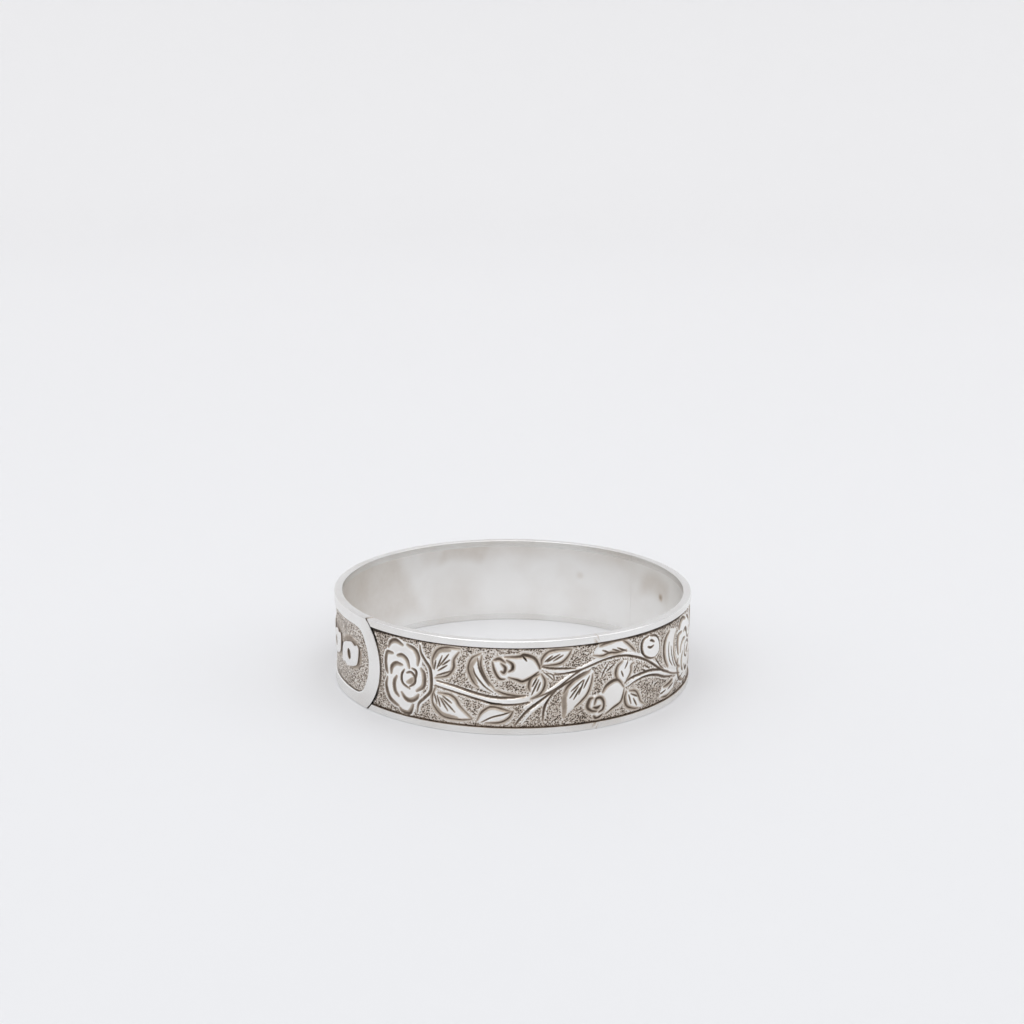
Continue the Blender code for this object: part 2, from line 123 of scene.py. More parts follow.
# Section of an eyelet: share of the way from the slot to the edge, and height over its foot
EYELET_FOOT = 0.26
EYELET_SECTION = [(0, 0), (0, 0.17), (0.05, 0.24), (0.12, 0.25), (0.25, 0.235), (0.4, 0.225), (0.55, 0.225),
                  (0.7, 0.235), (0.82, 0.245), (0.9, 0.22), (0.96, 0.15), (1.0, 0.06), (1.0, 0)]

# Relief: its levels, the fineness of its map and mesh, a mound's edge, and the vine's repeat, mm
GROUND_RADIUS = SHELL_OUTER - 0.05
LEDGE_RADIUS = SHELL_OUTER - 0.1
RELIEF_TOP = OUTER - 0.01
MAP_STEP = 0.06
MESH_STEP = 0.125
SHOULDER = 0.35
REPEAT = 61.0
REPEATS = 3
# Strokes of the matting punch: half length, half width, and jitter as a share of their spacing
PUNCH_HALF_LENGTH = 0.17
PUNCH_HALF_WIDTH = 0.09
PUNCH_JITTER = 0.36


# Meshes ------------------------------------------------------------------------------------------

def on_band(s, r, z):
    """World places, in metres, of places on the band."""
    turn = np.asarray(s) / OUTER
    spots = np.stack([r * np.sin(turn), -r * np.cos(turn), MIDDLE + np.asarray(z)], -1)
    return spots * MM


def add_object(name, data):
    added = bpy.data.objects.new(name, data)
    bpy.context.scene.collection.objects.link(added)
    return added


def finish_mesh(name, mesh, material, body, stands_for, sharp=38):
    """Shades a mesh and makes it a piece that rides on a body and stands for CAD nodes."""
    mesh.materials.append(material)
    mesh.shade_smooth()
    mesh.set_sharp_from_angle(angle=radians(sharp))
    piece = add_object(name, mesh)
    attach(piece, body)
    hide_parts(*stands_for)


def grid_mesh(name, spots, hole=None, wrap=False, layers=None):
    """Quad mesh over rows and columns of places; hole marks quads to leave out."""
    rows, columns = spots.shape[:2]
    number = np.arange(rows * columns).reshape(rows, columns)
    above = np.roll(number, -1, axis=0) if wrap else number[1:]
    below = number if wrap else number[:-1]
    quads = np.stack([below[:, :-1], below[:, 1:], above[:, 1:], above[:, :-1]], -1)
    quads = quads[~hole] if hole is not None else quads.reshape(-1, 4)
    used, corner = np.unique(quads, return_inverse=True)
    mesh = bpy.data.meshes.new(name)
    mesh.vertices.add(len(used))
    mesh.vertices.foreach_set("co", spots.reshape(-1, 3)[used].ravel())
    mesh.loops.add(4 * len(quads))
    mesh.loops.foreach_set("vertex_index", corner.ravel().astype(np.int32))
    mesh.polygons.add(len(quads))
    mesh.polygons.foreach_set("loop_start", np.arange(0, 4 * len(quads), 4, dtype=np.int32))
    mesh.update(calc_edges=True)
    for layer, values in (layers or {}).items():
        attribute = mesh.attributes.new(layer, "FLOAT", "POINT")
        attribute.data.foreach_set("value", values.reshape(-1)[used].astype(np.float32))
    return mesh


def smooth_step(value, low, high):
    share = np.clip((value - low) / (high - low), 0, 1)
    return share * share * (3 - 2 * share)


def tip_s(z, r, radius):
    """Where the round end of a given radius lies, at a height and a distance from the axis."""
    across = np.sqrt(np.maximum(radius ** 2 - np.asarray(z) ** 2, 0))
    return TIP_AXIS_S + np.arcsin(across / r) * OUTER


def eyelet_place(index):
    return radians(EYELET_FIRST - EYELET_PITCH * index) * OUTER


# Relief map --------------------------------------------------------------------------------------

def wander(s, seed, size):
    """Slow, hand-made unevenness round the band."""
    chance = np.random.default_rng(seed)
    total = 0 * s
    for turns in (2, 3, 5, 8, 13):
        size_now = chance.uniform(0.4, 1) / turns ** 0.5
        total += size_now * np.sin(turns * s / OUTER + chance.uniform(0, 2 * pi))
    return size * total / 2


def curve(points, closed=False, steps=6):
    """Smooth line through given points."""
    knots = np.array(points, float)
    if closed:
        knots = np.vstack([knots[-1:], knots, knots[:2]])
    else:
        knots = np.vstack([2 * knots[0] - knots[1], knots, 2 * knots[-1] - knots[-2]])
    share = np.arange(steps)[:, None] / steps
    spans = []
    for before, start, end, after in zip(knots, knots[1:], knots[2:], knots[3:]):
        bend = 2 * before - 5 * start + 4 * end - after
        twist = 3 * start - before - 3 * end + after
        spans.append(start + 0.5 * share * (end - before + share * (bend + share * twist)))
    if not closed:
        spans.append(knots[-2:-1])
    return np.vstack(spans)


class Relief:
    """Heights, and stains with painted shade and highlights, over a stretch of the unrolled band."""

    def __init__(self, start, end, half):
        self.s = np.arange(start, end + MAP_STEP, MAP_STEP)
        self.z = np.arange(-half, half + MAP_STEP, MAP_STEP)
        shape = (len(self.z), len(self.s))
        self.raised = np.zeros(shape)
        self.cut = np.zeros(shape)
        self.lip = np.zeros(shape)
        self.stain_and_painted_light = np.zeros(shape)
        self.dent = np.zeros(shape)
        self.ground = np.ones(shape)
        self.shift = 0.0

    def window(self, line, margin):
        """The part of the map round a line, or None if the line misses the map."""
        left, low = line.min(axis=0) - margin
        right, high = line.max(axis=0) + margin
        columns = slice(*np.searchsorted(self.s, (left, right)))
        rows = slice(*np.searchsorted(self.z, (low, high)))
        if columns.start >= columns.stop or rows.start >= rows.stop:
            return None
        return rows, columns

    def nearest(self, line, part):
        """Distance to a line, share of its length at the nearest place, and side: 1 is its left."""
        rows, columns = part
        s, z = np.meshgrid(self.s[columns], self.z[rows])
        best = np.full(s.shape, 1e9)
        share = np.zeros(s.shape)
        side = np.ones(s.shape)
        count = len(line) - 1
        for index in range(count):
            start = line[index]
            way = line[index + 1] - start
            along = ((s - start[0]) * way[0] + (z - start[1]) * way[1]) / max(way @ way, 1e-9)
            along = np.clip(along, 0, 1)
            away = (s - start[0] - along * way[0]) ** 2 + (z - start[1] - along * way[1]) ** 2
            closer = away < best
            best = np.where(closer, away, best)
            share = np.where(closer, (index + along) / count, share)
            left = way[0] * (z - start[1]) > way[1] * (s - start[0])
            side = np.where(closer, np.where(left, 1, -1), side)
        return np.sqrt(best), share, side

    def inside(self, line, part):
        rows, columns = part
        s, z = np.meshgrid(self.s[columns], self.z[rows])
        within = np.zeros(s.shape, bool)
        for start, end in zip(line, np.roll(line, -1, axis=0)):
            if start[1] == end[1]:
                continue
            crosses = (start[1] > z) != (end[1] > z)
            meets = start[0] + (z - start[1]) * (end[0] - start[0]) / (end[1] - start[1])
            within ^= crosses & (s < meets)
        return within

    def trace(self, points, margin, closed=False):
        """The smooth line through points at the present shift, and its part of the map."""
        line = curve([(s + self.shift, z) for s, z in points], closed)
        return line, self.window(line, margin)

    def mound(self, points, rise, crown, width):
        """Raised, polished area with a rounded edge and a slight crown."""
        line, part = self.trace(points, 0.3, closed=True)
        if part is None:
            return
        away = self.nearest(np.vstack([line, line[:1]]), part)[0]
        depth = np.where(self.inside(line, part), away, -away)
        height = rise * smooth_step(depth, -0.1, SHOULDER) + crown * smooth_step(depth, 0, width)
        self.raised[part] = np.maximum(self.raised[part], height)
        self.ground[part] *= 1 - smooth_step(depth, -0.12, 0.06)

    def ridge(self, points, width, rise):
        """Raised line that thins out at its ends."""
        line, part = self.trace(points, width)
        if part is None:
            return
        away, share, _ = self.nearest(line, part)
        half = width / 2 * (0.55 + 0.45 * np.sqrt(np.sin(pi * share)))
        across = np.clip(1 - (away / half) ** 2, 0, 1)
        self.raised[part] = np.maximum(self.raised[part], rise * np.sqrt(across))
        self.ground[part] *= 1 - smooth_step(across, 0, 0.4)

    def carve(self, points, width, depth, stain_and_painted_light, lip=0.05, fade=0.0):
        """Cut line that thins out at its ends, stained inside, with raised lips beside it.

        The stain fades by the share fade towards the line's left side; this fade is painted shade across the
        hollow.
        """
        line, part = self.trace(points, width + 0.6)
        if part is None:
            return
        away, share, side = self.nearest(line, part)
        taper = np.sqrt(np.clip(np.sin(pi * (0.04 + 0.92 * share)), 0, 1))
        half = width / 2 * (0.35 + 0.65 * taper)
        across = np.clip(1 - (away / half) ** 2, 0, 1)
        beside = np.exp(-((away - half - 0.14) / 0.13) ** 2) * taper
        self.cut[part] = np.maximum(self.cut[part], depth * taper * across)
        self.lip[part] = np.maximum(self.lip[part], lip * beside)
        # The fade is painted shade: the stain stays darker on the line's right side.
        tint = stain_and_painted_light * (0.6 + 0.4 * taper) * (1 - fade * smooth_step(side * away / half, -0.5, 0.9))
        self.stain_and_painted_light[part] = np.maximum(self.stain_and_painted_light[part], tint * across ** 0.28)
        self.ground[part] *= 1 - 0.9 * np.clip(0.6 * beside + (across > 0), 0, 1)

    def stipple(self, pitch=0.3, depth=0.07, seed=3):
        """Matting-punch strokes over the ground, which lean this way and that."""
        chance = np.random.default_rng(seed)
        s, z = np.meshgrid(self.s - self.s[0], self.z - self.z[0])
        shape = (int(z.max() / pitch) + 3, int(s.max() / pitch) + 3)
        shift_s = chance.uniform(-PUNCH_JITTER, PUNCH_JITTER, shape)
        shift_z = chance.uniform(-PUNCH_JITTER, PUNCH_JITTER, shape)
        strength = chance.uniform(0.35, 1.0, shape)
        lean = 0.2 + 1.1 * np.sin(s / 4.1 + 0.5 * np.sin(z / 2.3)) + 0.4 * np.sin(s / 1.7)
        dent = np.zeros(s.shape)
        row = (z / pitch).astype(int)
        column = (s / pitch).astype(int)
        for up in (0, 1):
            for right in (0, 1):
                off_s = s - (column + right + shift_s[row + up, column + right]) * pitch
                off_z = z - (row + up + shift_z[row + up, column + right]) * pitch
                along = off_s * np.cos(lean) + off_z * np.sin(lean)
                across = off_z * np.cos(lean) - off_s * np.sin(lean)
                away = (along / PUNCH_HALF_LENGTH) ** 2 + (across / PUNCH_HALF_WIDTH) ** 2
                dent = np.maximum(dent, strength[row + up, column + right] * np.exp(-away))
        self.dent = dent * self.ground
        self.cut += depth * self.dent

    def dirt_and_painted_light(self):
        """Stains of the cuts and punches; the lips get a painted highlight."""
        # Painted highlight on the lips: values below zero, which the material turns into a lighter silver.
        painted_highlight = np.clip(self.lip / 0.05, 0, 1)
        punched = 0.9 * smooth_step(self.dent, 0.25, 0.8)
        marks = np.maximum(self.stain_and_painted_light, punched)
        return np.where(marks > 0.03, marks, -0.1 * painted_highlight)

    def sample(self, values, s, z):
        """Value of a map at places of the band, by bilinear interpolation."""
        column = np.clip((s - self.s[0]) / MAP_STEP, 0, len(self.s) - 1.001)
        row = np.clip((z - self.z[0]) / MAP_STEP, 0, len(self.z) - 1.001)
        left, low = column.astype(int), row.astype(int)
        right, up = column - left, row - low
        lower = values[low, left] * (1 - right) + values[low, left + 1] * right
        upper = values[low + 1, left] * (1 - right) + values[low + 1, left + 1] * right
        return lower * (1 - up) + upper * up

    def layers(self, s, z):
        """Stains with painted shade and highlights, and matting, at places of the band."""
        return {"stain_and_painted_light": self.sample(self.dirt_and_painted_light(), s, z), "ground": self.sample(self.ground, s, z)}


# Ornament: one repeat of the chased vine, drawn at the relief's shift ----------------------------

def rose(relief):
    relief.mound([
        (-24.6, 0.3), (-24.5, 2.6), (-23.9, 4.1), (-23.3, 5.2), (-22.3, 6.3), (-21, 6.5), (-19.8, 6.2),
        (-18.5, 6.1), (-17.2, 5.6), (-16.4, 4.3), (-16.2, 2.8), (-15.4, 1.2), (-15.4, -0.9), (-16.4, -2.3),
        (-16.6, -3.2), (-17.5, -4.6), (-17.6, -5.6), (-18.4, -6.6), (-20.4, -6.8), (-21.6, -6.1),
        (-23, -5.6), (-24.2, -4.4), (-24.6, -2.4), (-24.1, -0.9)], rise=0.16, crown=0.08, width=3.2)
    # Hollows between the petals: stained cuts, each with painted shade that fades across it.
    for hollow in [
            [(-20.1, 5.6), (-21.6, 6.05), (-22.8, 5.6), (-23.4, 4.6)],
            [(-17, 2.6), (-16.9, 4), (-17.6, 5.2), (-19.1, 5.8)],
            [(-22.3, 3.7), (-23.7, 3.5), (-24.1, 2), (-23.9, 0.5), (-23.6, -0.1)],
            [(-18.7, 1.8), (-19.2, 3.1), (-20.2, 3.7), (-21.2, 3.5)],
            [(-20.2, 2), (-21.5, 2), (-22.5, 1.2), (-22.7, 0)],
            [(-23.7, -1), (-24, -2.5), (-23.3, -4.4), (-22.2, -5.2), (-21.1, -5.6)],
            [(-21.4, -0.3), (-22, -1.5), (-21.8, -3), (-21, -3.8)],
            [(-17.2, -2.1), (-15.9, -1), (-15.8, 1), (-16.3, 2)],
            [(-20.3, -3), (-19.5, -3.9), (-18.5, -4.1), (-17.4, -3.5), (-16.9, -2.8)],
            [(-20.8, -5.9), (-20.3, -6.4), (-19, -6.5), (-18.4, -5.8), (-18, -4.8)]]:
        relief.carve(hollow, width=0.95, depth=0.17, stain_and_painted_light=0.66, lip=0.07, fade=0.55)
    for line in [
            [(-19.7, 1.3), (-20.3, 0.2), (-20.1, -1.2), (-18.6, -2)],
            [(-18.1, 1.8), (-17.3, 1.4), (-17.2, 0.3)],
            [(-19.2, 0.8), (-18.3, 1.05), (-17.5, 0.3), (-17.6, -0.8), (-18.6, -1.6)]]:
        relief.carve(line, width=0.58, depth=0.14, stain_and_painted_light=0.68, lip=0.07)
    relief.carve([(-19.1, -0.9), (-18.4, -0.6), (-17.9, 0)], width=1.0, depth=0.06, stain_and_painted_light=0.42, lip=0)
    bract = [
        (-16.5, 6.2), (-16.3, 5), (-15.5, 3.7), (-14.6, 2.5), (-14.3, 1), (-14.3, -0.8), (-14.6, -2),
        (-15.8, -3.3), (-16.8, -4.4), (-17.1, -6)]
    relief.ridge(bract, width=1.5, rise=0.2)
    relief.carve(bract, width=0.66, depth=0.2, stain_and_painted_light=0.66, lip=0.05)


def leaf(relief, outline, edges, veins, hollow=None):
    """Leaf with a cut outline, a wide band of painted shade along it, and fine veins; hollow is a wide stained
    fold.
    """
    relief.mound(outline, rise=0.13, crown=0.04, width=1.0)
    for edge in edges:
        relief.carve(edge, width=0.42, depth=0.13, stain_and_painted_light=0.64, lip=0.06)
        # Wide, faint band of painted shade along the cut edge.
        relief.carve(edge, width=1.0, depth=0.03, stain_and_painted_light=0.26, lip=0)
    for vein in veins:
        relief.carve(vein, width=0.34, depth=0.09, stain_and_painted_light=0.74, lip=0.05)
    if hollow:
        relief.carve(hollow, width=0.95, depth=0.1, stain_and_painted_light=0.4, lip=0)


# Leaves beside the large rose: outline, cut edges, veins, and a wide fold along one side
ROSE_LEAVES = [
    ([(-13.7, 1), (-14, 2.5), (-14.2, 4), (-13.4, 5.8), (-11.7, 6.5), (-9, 6.5), (-9.9, 4.6), (-10, 3),
      (-11.1, 1.4)],
     [[(-13.9, 2.5), (-14.1, 4), (-13.2, 5.8), (-11.5, 6.5), (-9, 6.5)],
      [(-9.2, 5.9), (-10.1, 4.5), (-10.2, 3), (-11.3, 1.5), (-13.5, 0.8)]],
     [[(-13.7, 2.3), (-13.4, 4)], [(-13.2, 2.6), (-12.2, 5)], [(-12.8, 3), (-11, 5.4)],
      [(-12.2, 3.3), (-10.8, 4.4)], [(-13, 2.2), (-11.3, 3.4)], [(-13.3, 1.3), (-10.5, 2.5)]],
     [(-13.8, 4.2), (-12.8, 5.8), (-10.8, 6.1)]),
    ([(-13.7, -1.2), (-14.3, -3), (-13.7, -4.8), (-12.1, -6.1), (-9, -6.3), (-6.7, -6), (-7.1, -5.5),
      (-8.9, -3.7), (-9.7, -2.5), (-11, -1.8), (-13, -1.6)],
     [[(-13.6, -1), (-14.2, -3), (-13.6, -4.7), (-12, -6), (-9, -6.2), (-6.9, -5.9)],
      [(-6.9, -5.8), (-9, -3.8), (-9.8, -2.6), (-11, -1.9), (-13, -1.8)]],
     [[(-13.7, -2), (-13.2, -3.8)], [(-13.2, -2.2), (-12.6, -4.2)], [(-12.7, -2.5), (-11.2, -4.8)],
      [(-12.3, -2.6), (-9.9, -4.9)], [(-12.2, -2.2), (-10.5, -3.3)]],
     [(-13.6, -4), (-12.4, -5.5), (-9.5, -5.9)])]


def rose_leaves(relief):
    for parts in ROSE_LEAVES:
        leaf(relief, *parts)


def stems(relief):
    """The long vine and its branches: ridges that run between two cut lines."""
    relief.ridge([(-13.5, -0.1), (-10, -0.75), (-6, -1.7), (-3, -2.3), (0, -2.35), (2.8, -1.9), (5, -1)],
                 width=1.1, rise=0.15)
    relief.ridge([(2, -3.6), (4, -2.3), (6, -0.9), (8, 0.4), (10, 1.7), (12, 2.8), (15, 3.9), (18, 4.35),
                  (20, 4.35), (23, 3.6), (25, 2.8), (27, 1.7), (29, 0.4), (31, -0.9), (33, -1.8),
                  (38, -3.4)], width=0.8, rise=0.16)
    relief.ridge([(21.2, -1.8), (23.5, -1), (26, -0.7), (29, -1.1), (32, -2.1), (35, -3), (38.5, -3.9)],
                 width=0.7, rise=0.15)
    relief.ridge([(5, 3.4), (8, 2.75), (11, 2.75), (15, 3.3)], width=0.7, rise=0.13)
    relief.ridge([(8, 0.3), (6.6, -1.4), (5.2, -2.9), (3.4, -4.2), (1.6, -6.4)], width=0.5, rise=0.12)
    for line in [
            [(-13.3, 0.3), (-10, -0.2), (-6, -1.2), (-3, -1.7), (0, -1.7), (2.3, -1.3)],
            [(-13.7, -0.6), (-10, -1.3), (-6, -2.2), (-3, -2.9), (0, -3), (3, -2.6)],
            [(3.5, -1.9), (6, -1), (8, 0), (10, 1.4), (12, 2.6), (15, 3.5), (17, 3.9), (19, 4), (21, 3.8),
             (23, 3.2), (25, 2.4), (27, 1.3), (29, 0), (31, -1.3), (33, -2.2), (35, -3), (38, -3.8)],
            [(21, -1.2), (22, -0.7), (24, -0.4), (27, -0.3), (30, -0.9), (33, -2)],
            [(21.8, -2), (23.5, -1.4), (26, -1.1), (29, -1.6), (32, -2.8), (35, -3.5)],
            [(8, 0), (6, -1.5), (4, -3), (2.5, -4.2), (1, -6), (0.5, -6.8)],
            [(8, -0.2), (6.5, -1.8), (5.7, -3.2), (5.4, -4.5), (5.3, -6)]]:
        relief.carve(line, width=0.5, depth=0.15, stain_and_painted_light=0.68, lip=0.06)
    for line in [
            [(4.8, -2.2), (7, -0.9), (8.2, -0.2), (9.5, 0.5), (12, 1.8), (13.7, 2.3)],
            [(5, 3.7), (7, 3.3), (11, 3)],
            [(7, 2.2), (9.5, 2.3), (12, 2.7), (14.5, 3.3)],
            [(28.8, 1.5), (30, 0), (31.2, -1)]]:
        relief.carve(line, width=0.42, depth=0.12, stain_and_painted_light=0.68)
    relief.carve([(-5, -2.45), (-3.5, -2.8), (-1.8, -2.85)], width=0.45, depth=0.15, stain_and_painted_light=1.0)


# Leaves along the stems; most of them have no fold
SMALL_LEAVES = [
    ([(-5.3, 6.1), (-7, 5.1), (-7.7, 3.3), (-7.3, 1.8), (-6.6, 0.5), (-5.8, -0.1), (-4.5, -0.6), (-2.6, -1),
      (-2.5, -0.3), (-3.8, 0.5), (-4.6, 1.7), (-5.3, 3.8), (-5, 5.7)],
     [[(-5.4, 6), (-7, 5), (-7.6, 3.3), (-7.2, 1.8), (-6.5, 0.6), (-5.8, 0)],
      [(-5.2, 5.6), (-5.4, 3.8), (-4.5, 1.6), (-3.1, -0.1)],
      [(-3, -0.3), (-1.5, -1), (0, -1.3), (2, -1.5)]],
     [[(-6.7, 3.5), (-6.3, 2.2), (-4.8, 0.3), (-3.3, -0.8)],
      [(-5.9, 5.2), (-5.7, 3.5), (-5, 2), (-3.9, 0.3)]],
     [(-6.2, 5), (-7.1, 3.5), (-6.8, 1.8), (-6.1, 0.7)]),
    ([(-6.2, -6.1), (-5.3, -4.5), (-4, -3.5), (-2.8, -3.4), (-1, -3.9), (0.3, -4.1), (-0.4, -5.4),
      (-2, -6.3), (-4.5, -6.5)],
     [[(-6, -6), (-5.3, -4.6), (-4, -3.6), (-2.8, -3.5), (-1, -4), (0, -4.2)],
      [(-4.5, -6.4), (-2, -6.2), (-0.5, -5.3), (0.2, -4.1)]],
     [[(-5.3, -6.3), (-3.5, -5.3), (-1.5, -4.7), (-0.4, -4.3)]]),
    ([(4.9, 3.9), (5, 5.2), (6.1, 6.4), (8, 6.7), (10.4, 6.6), (9.8, 5.4), (8.8, 4.3), (7.5, 3.9)],
     [[(4.9, 4), (5.1, 5.2), (6.2, 6.3), (8, 6.6), (10.3, 6.5)],
      [(10.2, 6.4), (9.7, 5.4), (8.7, 4.4), (7.5, 4), (5.2, 3.9)]],
     [[(5.5, 4.6), (6.8, 5.6)], [(5.9, 4.6), (8.1, 5.8)], [(7, 4.7), (8.7, 5.6)]]),
    ([(4.7, 2.5), (3.1, 1.7), (2.7, 0.4), (2.9, -0.7), (3.1, -2), (4.7, -1.3), (5.5, -0.2), (5.7, 1.2),
      (5.1, 2.4)],
     [[(4.6, 2.4), (3.2, 1.7), (2.8, 0.4), (3, -0.5)],
      [(5, 2.4), (5.6, 1.2), (5.4, -0.2), (4.6, -1.2), (3.2, -1.9)]],
     [[(4.2, 1.8), (3.4, 0.3)], [(4.5, 1.5), (3.3, -1.2)], [(4.8, 1), (4.2, -0.6)]]),
    ([(14.2, 2.3), (13.3, 2.2), (11, 1.2), (9.5, -0.1), (8.8, -1.3), (8.7, -3), (9.1, -4.5), (8.7, -6),
      (10, -4.8), (11, -3.9), (12.3, -2.9), (13.4, -1.7), (14.1, 0), (14.4, 1.6)],
     [[(13.5, 2.1), (11, 1), (9.6, -0.2), (8.9, -1.3)],
      [(14.2, 1.6), (14, 0), (13.3, -1.8), (12.2, -3), (11, -4)]],
     [[(10.2, -1), (12.4, 0.8)], [(10, -2.2), (11.5, -0.3)], [(10.7, -2.5), (11.9, -0.5)],
      [(11.6, -1.7), (12.6, 0.8)], [(12.5, -0.7), (13.6, 1.4)]],
     [(9.5, -0.8), (9, -2.2), (9.1, -3.8), (9, -5.6)]),
    ([(14.4, 4.9), (15.3, 6.5), (18.5, 6.9), (20.2, 6.8), (21.4, 6.1), (22.6, 5), (23.4, 4), (21, 4.7),
      (19, 4.6), (17.5, 4.8), (16, 4.5)],
     [[(15.5, 6.4), (17, 6.75), (18.5, 6.8)], [(20.2, 6.7), (21.3, 6), (22.5, 4.9), (23.3, 4.1)],
      [(14.3, 4.9), (16, 4.6), (17.5, 4.9), (19, 4.7), (21, 4.8)]],
     [[(16, 5.6), (17.2, 5.1)], [(18, 5.5), (19.5, 4.9)], [(19, 5.6), (21.3, 4.5)]]),
    ([(20.4, 3), (19.2, 2.3), (18.8, 1), (19.2, -0.3), (20.4, -1.1), (21.2, -0.8), (22, -0.1), (22.4, 0.8),
      (22.4, 1.8), (23.2, 2.2)],
     [[(20.3, 2.9), (19.3, 2.2), (18.9, 1), (19.3, -0.2), (20.3, -1)],
      [(23, 2.1), (22.3, 1.8), (22.3, 0.8), (21.9, 0), (21.3, -0.6)]],
     [[(20, 1.2), (20.5, 0.1)], [(21.5, 2.7), (20.8, 1.5)]]),
    ([(21.2, -2.7), (20.9, -4), (21.4, -5.6), (23, -6.5), (24.3, -6.7), (25.9, -6.1), (24.9, -5.3),
      (24.4, -4.2), (23.6, -3.1), (22, -2.6)],
     [[(21.3, -2.8), (21, -4), (21.5, -5.5), (23, -6.3), (24.2, -6.5)],
      [(22, -2.8), (23.5, -3.2), (24.3, -4.2), (24.8, -5.3), (25.7, -6)]],
     [[(21.8, -3.5), (22.4, -5.3)], [(22.3, -3.4), (24, -4.3)], [(22.9, -4.4), (23.8, -5.9)]]),
    ([(33.2, 5.6), (32, 4.6), (31.3, 3), (31.5, 1), (32.3, -0.5), (33, -1.3), (34.8, -2.2), (37.8, -3),
      (36.8, -2), (35.9, -0.8), (35.2, 0.5), (35, 2), (35.3, 3.9), (36.2, 5)],
     [[(33.2, 5.5), (32, 4.5), (31.4, 3), (31.6, 1), (32.4, -0.5), (33, -1.2)],
      [(36.2, 4.9), (35.4, 3.9), (35.1, 2), (35.3, 0.5), (36, -0.8), (37, -2), (38, -2.6)]],
     [[(33, 3.4), (32.9, 1.8), (33.4, 0), (34.6, -1.4)], [(33.8, 2.5), (34.2, 0.8), (35, -0.9), (36, -2)]]),
    ([(30.4, -5.7), (31.5, -4.5), (33.5, -4.4), (35.2, -4), (37, -4.2), (36, -5.2), (35.3, -6), (33, -6.7),
      (30.7, -6.5)],
     [[(31.6, -4.6), (33.5, -4.5), (35, -4.1)], [(30.8, -6.3), (33, -6.6), (35.3, -5.9)]],
     [[(30.5, -5.6), (32.2, -5.3)], [(33, -5.4), (35, -4.8)]])]


def small_leaves(relief):
    """Leaves, then the sepals under a bud and the single strokes between the stems."""
    for parts in SMALL_LEAVES:
        leaf(relief, *parts)
    for sepal in [[(5.3, 2.8), (6.3, 2), (7.2, 1.1)], [(5.9, 2.6), (6.9, 2.2), (7.3, 1.2)]]:
        relief.ridge(sepal, width=0.6, rise=0.1)
        relief.carve(sepal, width=0.26, depth=0.08, stain_and_painted_light=0.7)
    for stroke in [
            [(17.3, 2.9), (16.5, 1.8), (16, 0.7)], [(18.8, 2.8), (17.9, 2.2), (17, 1.6)],
            [(25, 0.4), (26.2, -0.2)], [(25.7, 1), (27.1, 0.1)],
            [(28.6, -3.8), (29, -3.3), (29.8, -3.1)], [(27.9, -3.2), (28.3, -2.5)],
            [(36.8, -5.8), (38, -4.9), (40, -4.4)], [(40, -5.8), (42, -5.7)]]:
        relief.carve(stroke, width=0.32, depth=0.1, stain_and_painted_light=0.75)


def bud_line(relief, line):
    """Cut line over a wider, fainter hollow, whose stain is painted shade."""
    relief.carve(line, width=0.55, depth=0.15, stain_and_painted_light=0.7, lip=0.06)
    relief.carve(line, width=1.1, depth=0.04, stain_and_painted_light=0.22, lip=0)


